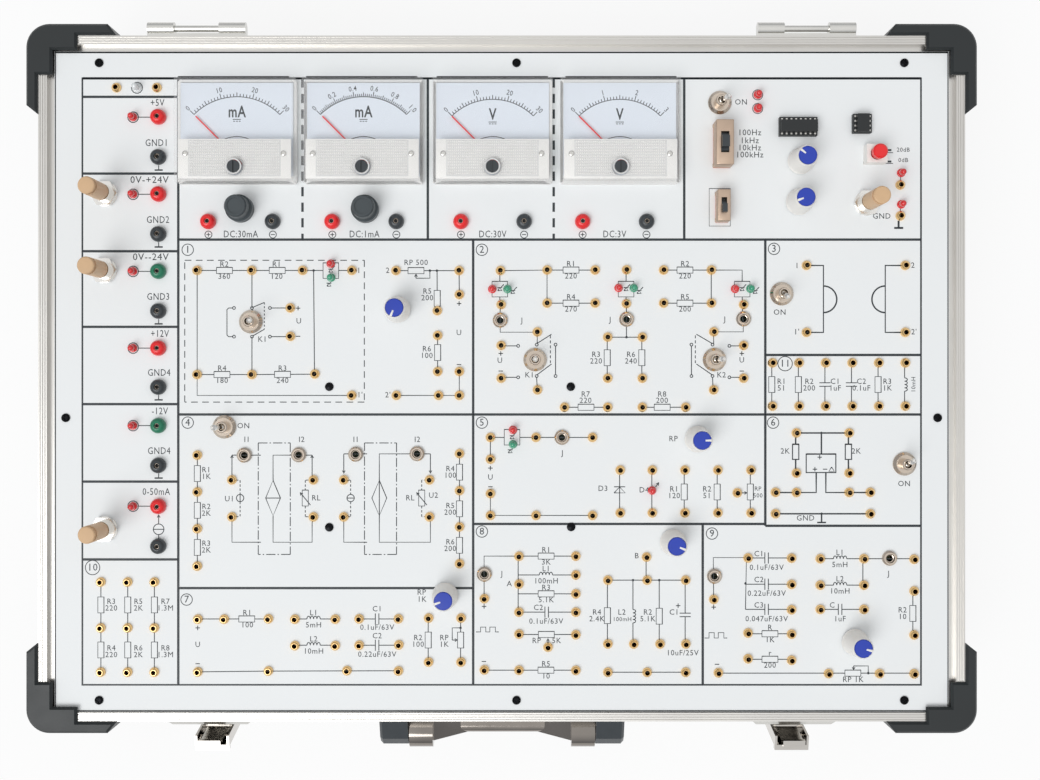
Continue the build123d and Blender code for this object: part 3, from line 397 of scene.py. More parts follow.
worn = [
    (aluminium, ["edge_profiles"]),
    (wall_sheet, ["wall_boards"]),
    (bottom_sheet, ["bottom_board"]),
    (guard_plastic, ["corner_guards"]),
    (rubber, ["rubber_feet"]),
    (plated_steel, ["lid_hinges", "latch_plates"]),
    (handle_chrome_painted_reflection, ["handle"]),
    (chrome, ["latch_lever_left", "latch_lever_right", "latch_claw_left", "latch_claw_right"]),
    (black_plastic, ["handle_mounts", "mains_inlet", "frequency_slider", "waveform_slider"]),
    (panel_white, ["face_panel"]),
    (black_screw, ["fasteners"]),
    (gold, ["gold_sockets"]),
    (nickel, ["jack_sockets", "toggle_switches"]),
    (silver, ["potentiometers"] + [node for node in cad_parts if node.startswith("lever_")]),
    (chip_plastic, ["ic_sockets"]),
    (meter_plastic, ["meter_cases"]),
    (clear_cover, ["meter_covers"]),
    (fuse_plastic, ["fuse_holders", "fuse_cap_1", "fuse_cap_2"]),
    (red_plastic, ["push_button"] + [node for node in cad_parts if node.startswith("meter_pointer_")]),
    (black_plastic, [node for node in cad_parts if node.startswith("zero_screw_")]),
    (laminate, ["circuit_boards"]),
    (varnish, ["power_supply"]),
]
for finish, nodes in worn:
    for node in nodes:
        wear(node, finish)
print("CAD pieces with a finish:", sum(len(nodes) for finish, nodes in worn))

# %% [markdown]
# Modelling by hand means: add a primitive, go into edit mode, pick faces, and push them about. These
# helpers do the same. An operator acts on whatever is selected, so everything is dropped first.

# %% Modelling helpers
def drop_all():
    if bpy.context.object and bpy.context.object.mode != "OBJECT":
        bpy.ops.object.mode_set(mode="OBJECT")
    bpy.ops.object.select_all(action="DESELECT")


def pick(test):
    """In edit mode, selects the faces whose centre and normal pass the test."""
    bpy.ops.object.mode_set(mode="OBJECT")
    mesh = bpy.context.object.data
    for thing in (mesh.vertices, mesh.edges, mesh.polygons):
        thing.foreach_set("select", [False] * len(thing))
    for face in mesh.polygons:
        face.select = test(face.center, face.normal)
    bpy.ops.object.mode_set(mode="EDIT")


def finish_piece(name, finish, body="case", angle=35.0):
    """Leaves edit mode, puts the place into the mesh, names the piece and fixes it to its body."""
    bpy.ops.object.mode_set(mode="EDIT")
    bpy.ops.mesh.select_all(action="SELECT")
    bpy.ops.mesh.remove_doubles(threshold=0.001 * MM)
    bpy.ops.mesh.normals_make_consistent(inside=False)
    bpy.ops.object.mode_set(mode="OBJECT")
    bpy.ops.object.transform_apply(location=True, rotation=True, scale=True)
    bpy.ops.object.shade_smooth_by_angle(angle=math.radians(angle))
    piece = bpy.context.object
    piece.name = piece.data.name = name
    piece.data.materials.clear()
    piece.data.materials.append(finish.material)
    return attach(piece, body)


def turn_up(profile, sides=32):
    """A turned shape that starts as a filled circle and is drawn up ring by ring.

    The profile is a list of radius and height in mm, from the foot outwards, up and over."""
    drop_all()
    radius, height = profile[0]
    bpy.ops.mesh.primitive_circle_add(
        vertices=sides, radius=radius * MM, fill_type="NGON", location=(0, 0, height * MM))
    bpy.ops.object.mode_set(mode="EDIT")
    bpy.ops.mesh.select_all(action="SELECT")
    for next_radius, next_height in profile[1:]:
        rise = (next_height - height) * MM
        bpy.ops.mesh.extrude_region_move(TRANSFORM_OT_translate={"value": (0, 0, rise)})
        share = next_radius / radius
        bpy.ops.transform.resize(value=(share, share, 1), center_override=(0, 0, next_height * MM))
        radius, height = next_radius, next_height
    return bpy.context.object


def move_mesh(piece, offset, turn=0.0):
    """Turns a piece's mesh about its upright axis, then moves it."""
    piece.data.transform(Matrix.Translation(offset) @ Matrix.Rotation(math.radians(turn), 4, "Z"))


def repeat(piece, places, name, body="case"):
    """Copies a piece modelled at the world's origin to each place, each with its own mesh."""
    made = []
    for number, spot in enumerate(places, 1):
        twin = piece.copy()
        twin.data = piece.data.copy()
        twin.name = twin.data.name = f"{name}_{number}"
        bpy.context.scene.collection.objects.link(twin)
        move_mesh(twin, spot)
        made.append(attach(twin, body))
    bpy.data.objects.remove(piece)
    return made


def cut_with(tool_object):
    """Cuts the active piece with another object, which is then removed."""
    piece = bpy.context.object
    cutter = piece.modifiers.new("cut", "BOOLEAN")
    cutter.operation = "DIFFERENCE"
    cutter.solver = "EXACT"
    cutter.object = tool_object
    bpy.ops.object.modifier_apply(modifier="cut")
    bpy.data.objects.remove(tool_object)


def join(pieces):
    drop_all()
    for piece in pieces:
        piece.select_set(True)
    bpy.context.view_layer.objects.active = pieces[0]
    bpy.ops.object.join()
    return bpy.context.object


print("modelling helpers are ready")

# %% [markdown]
# The coloured sockets are small domes with a plated tube down the middle. A quarter of an ellipse
# gives the dome, and the last rings of the profile go back down into the hole.

# %% Coloured sockets
socket_radius, socket_height, socket_foot = 4.2, 4.5, 1.1
tube_radius, tube_bore, tube_top = 1.3, 1.0, 3.3


def quarter(outer, inner, low, high, steps=6):
    """Radius and height along a quarter ellipse, from upright at the foot to level at the top."""
    turns = [math.pi / 2 * step / steps for step in range(steps + 1)]
    return [(inner + (outer - inner) * math.cos(t), low + (high - low) * math.sin(t)) for t in turns]


def coloured_socket(finish):
    dome = quarter(socket_radius, tube_radius + 0.35, socket_foot, socket_height)
    profile = [(socket_radius - 0.15, 0.0), (socket_radius, 0.15)] + dome
    profile += [(tube_radius + 0.05, socket_height - 0.3), (tube_radius, socket_height - 0.6)]
    profile += [(tube_radius, 1.0)]
    turn_up(profile)
    return finish_piece("coloured_socket", finish)


meter_places = [(84.3, 29.6), (152.3, 29.6), (221.7, 29.6), (290.0, 29.6)]
meter_socket_row = 77.5
meter_socket_columns = [(68.1, 102.9), (135.0, 169.6), (204.5, 238.6), (270.2, 304.7)]
supply_column, supply_lamp_column = 41.2, 27.4
supply_rows = {
    "red": [21.0, 62.7, 145.9, 231.4],
    "green": [104.4, 187.8],
    "black": [42.7, 84.3, 125.9, 167.0, 209.3, 252.9],
}
socket_places = {colour: [(supply_column, row) for row in rows] for colour, rows in supply_rows.items()}
socket_places["red"] += [(pair[0], meter_socket_row) for pair in meter_socket_columns]
socket_places["black"] += [(pair[1], meter_socket_row) for pair in meter_socket_columns]
for colour, finish in (("red", red_plastic), ("black", black_plastic), ("green", green_plastic)):
    spots = [place(u, v) for u, v in socket_places[colour]]
    for piece in repeat(coloured_socket(finish), spots, colour + "_socket"):
        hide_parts("power_sockets")
print("coloured sockets:", {colour: len(places) for colour, places in socket_places.items()})

# %% [markdown]
# The plated tube in each socket is what the plug touches. It sits a little lower than the plastic lip
# and shows as a thin bright ring round the dark hole. A dark disc at the foot of each bore is painted
# shade of the deep hole.

# %% Tubes of the coloured sockets
turn_up([
    (tube_radius - 0.02, 1.0), (tube_radius - 0.02, tube_top - 0.15), (tube_radius - 0.1, tube_top),
    (tube_bore + 0.06, tube_top), (tube_bore, tube_top - 0.1), (tube_bore, 1.3)], sides=24)
finish_piece("socket_tube", nickel)
all_sockets = [place(u, v) for places in socket_places.values() for u, v in places]
repeat(bpy.context.object, all_sockets, "socket_tube")
# Painted shade: a dark disc closes each bore.
turn_up([(tube_bore - 0.02, 1.32), (tube_bore - 0.02, 1.5), (0.2, 1.55)], sides=16)
finish_piece("socket_bore_shade", chip_plastic)
bore_shades = repeat(bpy.context.object, all_sockets, "socket_bore_shade")
join(bore_shades).name = "socket_bore_shades"
print("tubes:", len(all_sockets))

# %% [markdown]
# A lamp is a short rod with a round end and a small flange at its foot. The flange's upper edge is
# rounded, and the dome is the same quarter curve that the sockets use.

# %% Lamps
lamp_radius, lamp_flange, lamp_height = 1.7, 2.3, 6.0
lamp_places = {
    "red": [
        (364.8, 8.9), (364.8, 16.3), (442.2, 51.2), (442.2, 68.2), (134.2, 100.3), (221.4, 114.0),
        (289.6, 113.4), (352.5, 113.9), (232.6, 190.1), (307.7, 222.9),
    ],
    "green": [(134.4, 107.8), (229.6, 114.0), (297.8, 113.4), (360.8, 113.8), (232.6, 197.9)],
    "clear": [(29.5, 5.1)],
}
lamp_places["red"] += [(supply_lamp_column, row) for row in supply_rows["red"] + supply_rows["green"]]
for colour, finish in (("red", red_lens), ("green", green_lens), ("clear", clear_lens)):
    profile = [(lamp_flange - 0.1, 0.0), (lamp_flange, 0.12), (lamp_flange, 0.65), (lamp_flange - 0.15, 0.8)]
    profile += [(lamp_radius, 0.82)] + quarter(lamp_radius, 0.12, lamp_height - lamp_radius, lamp_height)
    turn_up(profile, sides=24)
    finish_piece("lamp", finish, angle=50.0)
    spots = [place(u, v) for u, v in lamp_places[colour]]
    for piece in repeat(bpy.context.object, spots, colour + "_lamp"):
        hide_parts("indicator_lamps")
print("lamps:", {colour: len(places) for colour, places in lamp_places.items()})

# %% [markdown]
# Each knob is a white tapered skirt with a thin rim, a blue disc lying inside the rim, and a white
# pointer let into the disc. The skirt's rings are drawn up from its foot, over the rim and down to the
# seat of the disc. Body and CAD node have the same name, so one loop dresses all seven.

# %% Knobs
knob_top = 19.0
knob_skirt = [
    (6.9, 1.2), (7.1, 1.4), (7.1, 2.5), (6.75, 2.9), (5.75, 16.6), (5.6, 17.6), (5.35, 18.3), (5.1, 18.5),
    (4.95, 18.4), (4.85, 17.9),
]
disc_radius = 4.75
knobs = {
    "knob_section_1": (170.3, 125.2, 247.0),
    "knob_section_5": (332.2, 195.1, 0.0),
    "knob_section_7": (196.0, 279.6, 200.0),
    "knob_section_8": (318.9, 250.8, -22.0),
    "knob_section_9": (416.9, 304.6, -15.0),
    "knob_coarse": (387.7, 45.0, 141.0),
    "knob_fine": (386.8, 67.0, 202.0),
}


def knob_pointer():
    """A bar along +X that narrows towards the middle of the disc and ends on the rim."""
    length, wide, narrow, low, high = 3.3, 1.3, 0.9, 18.0, 19.0
    bpy.ops.mesh.primitive_cube_add(size=1, location=(
        (disc_radius + 0.1 - length / 2) * MM, 0, (low + high) / 2 * MM))
    bpy.context.object.scale = (length * MM, wide * MM, (high - low) * MM)
    bpy.ops.object.transform_apply(location=True, rotation=True, scale=True)
    pick(lambda centre, normal: normal.x < -0.9)
    bpy.ops.transform.resize(value=(1, narrow / wide, 1))
    bpy.ops.mesh.select_all(action="SELECT")
    bpy.ops.mesh.bevel(offset=0.12 * MM, segments=2)


for name, (u, v, facing) in knobs.items():
    spot = place(u, v)
    turn_up(knob_skirt, sides=48)
    skirt = finish_piece(name + "_skirt", white_plastic, name)
    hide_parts(name)
    turn_up([
        (disc_radius, 17.6), (disc_radius, knob_top - 0.25), (disc_radius - 0.25, knob_top - 0.04),
        (disc_radius - 1.5, knob_top)], sides=40)
    disc = finish_piece(name + "_disc", blue_plastic, name)
    drop_all()
    knob_pointer()
    pointer = finish_piece(name + "_pointer", white_plastic, name)
    pointer.data.transform(Matrix.Translation((0, 0, 0.06 * MM)))
    shaft_rings = [(3.0, -9.5), (3.0, 1.0), (2.8, 1.3)]
    turn_up(shaft_rings, sides=24)
    shaft = finish_piece(name + "_shaft", nickel, name)
    for piece in (skirt, disc, pointer, shaft):
        move_mesh(piece, spot, facing)
print("knobs:", len(knobs))

# %% [markdown]
# The multi-turn controls carry slim tan knobs, fluted along their length. The flutes are modelled: on
# a turned blank every second strip of the side is inset and pushed inwards.

# %% Fluted knobs
fluted_top, fluted_foot, fluted_radius = 30.0, 8.8, 4.6
turn_places = {
    "supply_knob_1": (12.3, 62.5),
    "supply_knob_2": (12.0, 104.0),
    "supply_knob_3": (12.4, 243.6),
    "amplitude_knob": (423.6, 67.5),
}
flute_count = 20
for name, (u, v) in turn_places.items():
    turn_up([
        (fluted_radius - 0.15, fluted_foot), (fluted_radius, fluted_foot + 0.4),
        (fluted_radius, fluted_top - 3.4), (fluted_radius, fluted_top - 1.0),
        (fluted_radius - 0.25, fluted_top - 0.45),
        (fluted_radius - 0.7, fluted_top - 0.12), (fluted_radius - 2.4, fluted_top)], sides=2 * flute_count)
    half_step = math.pi / (2 * flute_count)

    def second_strip(centre, normal):
        turn = math.atan2(normal.y, normal.x) / (2 * half_step)
        tall = fluted_foot + 1 < centre.z / MM < fluted_top - 4
        return abs(normal.z) < 0.1 and tall and math.floor(turn) % 2 == 0

    pick(second_strip)
    bpy.ops.mesh.inset(thickness=0.09 * MM, depth=-0.3 * MM, use_individual=True)
    knob = finish_piece(name + "_grip", tan_plastic, name, angle=28.0)
    turn_up([(3.0, -21.0), (3.0, fluted_foot + 0.2), (2.8, fluted_foot + 0.4)], sides=24)
    shaft = finish_piece(name + "_shaft", nickel, name)
    for piece in (knob, shaft):
        move_mesh(piece, place(u, v))
    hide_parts(name)
print("fluted knobs:", len(turn_places))

# %% [markdown]
# A slide switch is a bent can of plated tin over a strip of orange board. The can starts as a box: the
# slot is an inset of its top pushed down into a dark well, and its long edges get the small round
# bends that folded metal has.

# %% Slide switches
switch_tan = metal("switch_can", "#C0AA97", 0.45, cloud=5.0, amount=0.07)
board_orange = moulded("board_orange", "#C4622A", 0.55, grain=0.8, depth=0.03, amount=0.2)
slide_switches = {
    "frequency": (345.3, 36.6, 9.4, 24.0, 12.0, 4.4, 11.3),
    "waveform": (345.3, 69.7, 6.9, 16.8, 9.0, 3.0, 8.2),
}


def box_between(low, high):
    """A box between two corners, in mm, with its scale applied."""
    drop_all()
    middle = [(a + b) / 2 * MM for a, b in zip(low, high)]
    bpy.ops.mesh.primitive_cube_add(size=1, location=middle)
    bpy.context.object.scale = [(b - a) * MM for a, b in zip(low, high)]
    bpy.ops.object.transform_apply(location=True, rotation=True, scale=True)
    return bpy.context.object


def round_edges(offset, segments=2):
    bpy.ops.object.mode_set(mode="EDIT")
    bpy.ops.mesh.select_all(action="SELECT")
    bpy.ops.mesh.bevel(offset=offset * MM, segments=segments)


for name, (u, v, width, length, height, slot_width, slot_length) in slide_switches.items():
    across, along = slot_width / 2, slot_length / 2
    slot = box_between((-across, -along, height - 2.6), (across, along, height + 1))
    can = box_between((-width / 2, -length / 2, 1.2), (width / 2, length / 2, height))
    round_edges(0.45, 3)
    bpy.ops.object.mode_set(mode="OBJECT")
    cut_with(slot)
    can = finish_piece(name + "_switch_can", switch_tan)
    box_between((-across, -along, height - 2.7), (across, along, height - 2.3))
    round_edges(0.1)
    well = finish_piece(name + "_switch_well", chip_plastic)
    half_width, half_length = width / 2 - 0.1, length / 2 - 0.1
    base = box_between((-half_width, -half_length, 0.0), (half_width, half_length, 1.25))
    round_edges(0.12)
    base = finish_piece(name + "_switch_base", board_orange)
    ears = []
    for side in (-1, 1):
        for end in (-1, 1):
            x, y = side * (width / 2 - 0.1), end * (length / 2 - 1.4)
            box_between((x - 0.35, y - 0.9, 0.0), (x + 0.35, y + 0.9, 1.6))
            round_edges(0.12)
            ears.append(finish_piece("ear", switch_tan))
    ears = join(ears)
    ears.name = name + "_switch_ears"
    for piece in (can, well, base, ears):
        move_mesh(piece, place(u, v))
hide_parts("selector_switches")

# %% [markdown]
# The push switch is a small white block with a round well for its red button. It has a bevel all
# round, and a shallow step in its top where the two halves of the block meet.

# %% Push switch
push_place = (427.4, 41.7)
push_length, push_width, push_height = 11.0, 10.0, 7.0
button_well_radius = 3.6
drop_all()
bpy.ops.mesh.primitive_cylinder_add(
    vertices=32, radius=button_well_radius * MM, depth=6 * MM, location=(0, 0, push_height * MM))
button_well = bpy.context.object
box_between((-push_length / 2, -push_width / 2, 0.0), (push_length / 2, push_width / 2, push_height))
pick(lambda centre, normal: normal.z > 0.9)
bpy.ops.mesh.inset(thickness=0.5 * MM, depth=0)
bpy.ops.transform.translate(value=(0, 0, 0.15 * MM))
bpy.ops.object.mode_set(mode="OBJECT")
cut_with(button_well)
push_block = finish_piece("push_switch_block", white_plastic)
move_mesh(push_block, place(*push_place))
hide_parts("selector_switches")
print("push switch:", len(push_block.data.polygons), "faces")

# %% [markdown]
# The chips sit in sockets whose spring contacts show as bright tin in the slots along both edges.
# One contact is a box with its top bevelled, and it is copied into each slot.

# %% Contacts of the chip sockets
chip_pitch, contact_row = 2.54, 3.81
chips = [(386.1, 26.6, 8, 0.0), (420.5, 25.0, 4, 90.0)]
contact_spots = []
for u, v, count, turn in chips:
    for side in (-1, 1):
        for step in range(count):
            along = (step - (count - 1) / 2) * chip_pitch
            offset = Matrix.Rotation(math.radians(turn), 3, "Z") @ Vector((along, side * contact_row, 0)) * MM
            contact_spots.append(place(u, v) + offset)
box_between((-0.55, -0.55, 2.62), (0.55, 0.55, 3.5))
round_edges(0.12, 1)
finish_piece("contact", bright_tin)
contacts = join(repeat(bpy.context.object, contact_spots, "contact"))
contacts.name = contacts.data.name = "chip_contacts"
print("contacts:", len(contact_spots))

# %% [markdown]
# Screen print lies on the panel as a film of ink. Every stroke is one spline of a curve with a round
# bevel, as if drawn with a pen; the curve becomes a mesh and is pressed flat to the film's thickness.
# Strokes of one pen width share a curve.

# %% Pen strokes
ink_thickness = 0.06


def draw(name, strokes, pen, finish, rise=0.0, body="case"):
    """Draws strokes, each a list of (column, row) points, with a pen of that width in mm."""
    drop_all()
    bpy.ops.curve.primitive_nurbs_path_add()
    curve = bpy.context.object.data
    curve.splines.clear()
    curve.bevel_depth = pen / 2 * MM
    curve.bevel_resolution = 1
    curve.use_fill_caps = True
    for stroke in strokes:
        spline = curve.splines.new("POLY")
        spline.points.add(len(stroke) - 1)
        for point, (u, v) in zip(spline.points, stroke):
            point.co = (*place(u, v)[:2], 0.0, 1.0)
    bpy.ops.object.convert(target="MESH")
    piece = bpy.context.object
    piece.data.transform(Matrix.Diagonal((1, 1, ink_thickness / pen, 1)))
    piece.data.transform(Matrix.Translation((0, 0, panel_high.z + rise * MM)))
    return finish_piece(name, finish, body)


def arc(u, v, radius, start=0.0, end=360.0, steps=24):
    """Points on an arc; angles turn anticlockwise from the right."""
    turns = [math.radians(start + (end - start) * step / steps) for step in range(steps + 1)]
    return [(u + radius * math.cos(t), v - radius * math.sin(t)) for t in turns]


def rectangle(left, top, right, bottom):
    return [(left, top), (right, top), (right, bottom), (left, bottom), (left, top), (right, top)]


def dashes(start, end, pattern):
    """Cuts a straight run into the lengths of a pattern: a dash, a gap, a dash and so on."""
    run = math.dist(start, end)
    across, down = (end[0] - start[0]) / run, (end[1] - start[1]) / run
    cut, made, step = 0.0, [], 0
    while cut < run:
        length = min(pattern[step % len(pattern)], run - cut)
        if step % 2 == 0:
            ends = (cut, cut + length)
            made.append([(start[0] + across * c, start[1] + down * c) for c in ends])
        cut += length
        step += 1
    return made


print("pens are ready")

# %% [markdown]
# The panel is ruled into blocks. The thick rules are straight runs between a few shared columns and
# rows, so naming those keeps the blocks meeting at their corners. A thin dark stroke along the panel's
# edge is painted shadow where the panel meets the rim.

# %% Rules between the blocks
left_column = 51.8
meter_row, middle_row = 87.2, 181.8
column_2, column_3, column_9 = 211.1, 368.9, 335.1
row_5, row_7, row_9, row_11 = 241.0, 275.7, 242.0, 149.6
meter_columns = (186.6, 325.1)
thick = [rectangle(0, 0, grid_columns, grid_rows)]
thick += [[(left_column, 0), (left_column, grid_rows)]]
thick += [[(0, row), (left_column, row)] for row in (10.0, 51.5, 93.5, 134.4, 176.2, 218.1, 260.2)]
thick += [[(left_column, row), (grid_columns, row)] for row in (meter_row, middle_row)]
thick += [[(column, 0), (column, meter_row)] for column in meter_columns]
thick += [[(column_2, meter_row), (column_2, grid_rows)], [(column_3, meter_row), (column_3, row_9)]]
thick += [[(column_3, row_11), (grid_columns, row_11)], [(column_2, row_5), (column_3, row_5)]]
thick += [[(column_3, row_9), (grid_columns, row_9)], [(left_column, row_7), (column_2, row_7)]]
thick += [[(column_9, row_5), (column_9, grid_rows)]]
for column in (118.9, 254.6):
    thick += dashes((column, 0), (column, meter_row), (5.0, 3.4))
draw("panel_rules", thick, 1.35, print_ink)
shadow_inset, shadow_pen = 0.5, 0.9
side = (border_margin_x - shadow_inset) * MM / column_pitch
end = (border_margin_y - shadow_inset) * MM / row_pitch
outline = [rectangle(-side, -end, grid_columns + side, grid_rows + end)]
# The dark stroke is painted shadow along the gap between the panel and the rim.
draw("panel_edge_shadow", outline, shadow_pen, guard_plastic)
print("rules:", len(thick))

# %% [markdown]
# The circuits are drawn with a thin pen. A run of wire with parts on it is one list: where it starts
# and ends and which symbols it carries, so each symbol breaks the wire where it sits. Resistors are
# boxes, coils are rows of small arcs, capacitors two plates.

# %% Circuit symbols
box_length, box_width = 8.6, 3.3
plate_length, plate_gap = 6.0, 1.9
coil_radius, coil_turns, coil_bulge = 0.9, 4, 1.5
thin, small_dots, arrows = [], [], []


def turn_to(start, end):
    """A helper that maps along and across a run onto columns and rows."""
    run = math.dist(start, end)
    du, dv = (end[0] - start[0]) / run, (end[1] - start[1]) / run

    def at(along, across=0.0):
        return (start[0] + du * along - dv * across, start[1] + dv * along + du * across)
    return run, at


def wire(*points):
    thin.append(list(points))


def part(kind, start, end, middle=None):
    """A wire from start to end with one symbol in the middle, or at that distance from its start."""
    run, at = turn_to(start, end)
    centre = run / 2 if middle is None else middle
    half = {"R": box_length, "C": plate_gap, "L": 2 * coil_radius * coil_turns}[kind] / 2
    wire(start, at(centre - half))
    wire(at(centre + half), end)
    if kind == "R":
        side = box_width / 2
        corners = [(-half, -side), (half, -side), (half, side), (-half, side)]
        thin.append([at(centre + a, b) for a, b in corners + corners[:2]])
    elif kind == "L":
        for turn in range(coil_turns):
            middle_of_turn = centre - half + coil_radius * (2 * turn + 1)
            angles = [math.pi * step / 8 for step in range(9)]
            thin.append([
                at(middle_of_turn - coil_radius * math.cos(a), -coil_bulge * math.sin(a)) for a in angles])
    else:
        for side in (-1, 1):
            ends = (-plate_length / 2, plate_length / 2)
            thin.append([at(centre + side * plate_gap / 2, end_across) for end_across in ends])


def ring(u, v, radius=0.75):
    thin.append(arc(u, v, radius, steps=14))


def dot(u, v, radius=0.3):
    small_dots.append(arc(u, v, radius, steps=8))


def arrow(start, end, head=1.5):
    """A wire with an open arrow head at its end."""
    run, at = turn_to(start, end)
    wire(start, end)
    thin.append([at(run - head, head * 0.5), end, at(run - head, -head * 0.5)])


def lamp_pair(u, v, upright, half=4.2):
    """The box round a red and a green lamp, with the two small diode marks beside it."""
    thin.append(rectangle(u - half, v - half, u + half, v + half))
    for tip_u, tip_v in ((u, v), (u + 7.0, v + 1.5)) if upright else ((u, v), (u - 1.0, v + 7.6)):
        arrows.append([(tip_u - 1.1, tip_v + 0.8), (tip_u + 1.1, tip_v + 0.8), (tip_u, tip_v - 0.8),
                       (tip_u - 1.1, tip_v + 0.8)])
        thin.append([(tip_u - 1.3, tip_v - 0.8), (tip_u + 1.3, tip_v - 0.8)])
        thin.append([(tip_u + 0.8, tip_v - 1.2), (tip_u + 2.2, tip_v - 2.6)])


print("symbols are ready")

# %% [markdown]
# Block 1 and block 2 are drawn around their switches: wires run in from the sockets, end in small
# open contacts, and slanted strokes stand for the blades.

# %% Circuits 1 and 2
part("R", (62.0, 103.9), (91.5, 103.9))
part("R", (91.5, 103.9), (119.0, 103.9))
wire((119.0, 103.9), (130.0, 103.9))
wire((138.4, 103.9), (145.6, 103.9))
lamp_pair(134.2, 104.0, upright=False)
dot(124.9, 103.9)
wire((124.9, 103.9), (125.4, 159.9))
wire((62.0, 103.9), (62.0, 171.5), (145.5, 171.5))
part("R", (62.0, 160.2), (91.6, 160.2), middle=13.4)
part("R", (91.6, 160.2), (125.6, 160.0), middle=16.5)
wire((91.6, 103.9), (91.6, 124.2))
wire((91.6, 139.8), (91.6, 160.2))
for v, tip in ((124.2, 121.2), (139.7, 135.7)):
    ring(91.6, v)
    ring(81.9, v)
    ring(101.3, v)
    wire((91.9, v - 0.3), (98.3, tip))
    wire((102.1, v), (112.3, v))
wire((81.2, 124.2), (79.0, 124.2), (78.1, 125.1), (78.1, 138.8), (79.0, 139.7), (81.2, 139.7))
thin += dashes((98.3, 121.2), (98.3, 135.7), (1.1, 0.9))
for start, end in (((55.3, 98.4), (152.3, 98.4)), ((152.3, 98.4), (152.3, 175.1)),
                   ((152.3, 175.1), (55.3, 175.1)), ((55.3, 175.1), (55.3, 98.4))):
    thin += dashes(start, end, (3.6, 2.4))
part("R", (169.4, 104.0), (203.5, 104.0), middle=10.8)
wire((187.7, 104.0), (187.7, 108.1), (180.2, 108.1))
arrow((180.2, 108.1), (180.2, 105.8))
dot(187.7, 104.0)
dot(191.5, 104.0)
part("R", (191.6, 104.0), (191.7, 125.7), middle=15.0)
part("R", (191.9, 139.1), (191.9, 158.6), middle=9.2)
wire((203.5, 104.0), (203.6, 117.0))
wire((203.6, 158.6), (203.6, 171.5), (169.6, 171.5))

wire((225.8, 104.0), (251.0, 103.7), (251.0, 121.6))
part("R", (251.0, 103.7), (276.9, 103.7))
part("R", (251.0, 121.6), (276.9, 121.6))
part("R", (313.9, 103.7), (339.7, 103.7), middle=11.6)
part("R", (313.9, 121.6), (339.7, 121.6), middle=11.6)
wire((339.7, 103.7), (339.7, 121.6))
wire((339.7, 103.7), (356.4, 103.7), (356.4, 109.8))
for u, top in ((225.5, 104.0), (293.7, 103.6), (356.4, 109.0)):
    lamp_pair(u, 114.0, upright=True)
    wire((u, top), (u, 109.8))
    wire((u, 118.2), (u + 0.3, 131.0))
wire((225.7, 130.9), (225.7, 137.3), (245.7, 137.3), (245.7, 143.2))
wire((293.9, 131.0), (293.9, 140.0))
wire((283.7, 140.0), (302.4, 140.0))
dot(293.9, 140.0)
part("R", (283.5, 140.0), (283.5, 162.2))
part("R", (302.2, 140.0), (302.2, 162.2))
wire((357.0, 130.2), (357.0, 137.1), (341.0, 137.1), (341.0, 143.4))
blades = [(245.4, 253.4, 255.6, 235.4, 226.2), (340.4, 331.7, 329.0, 349.5, 357.1)]
for hinge, tip, bar, contact, far in blades:
    for v, end in ((144.0, 138.4), (161.0, 154.5)):
        ring(hinge, v)
        wire((hinge, v - 0.5), (tip, end))
        ring(bar, v)
        ring(contact, v + 0.7)
        wire((contact + (0.8 if far > contact else -0.8), v + 0.7), (far, v + 0.7))
    wire((bar, 144.8), (bar, 160.3))
    thin += dashes((tip - 0.6, 139.0), (tip - 0.6, 154.0), (1.6, 1.1))
    wire((hinge, 161.8), (hinge + 0.3, 168.5))
part("R", (260.4, 177.9), (283.7, 177.9))
part("R", (302.4, 177.9), (325.8, 177.9), middle=10.8)
print("strokes so far:", len(thin))

# %% [markdown]
# Block 4 holds two controlled sources. Their dash-dotted frames, diamonds and dashed load resistors
# are the same drawing twice, a step apart, so one loop draws both.

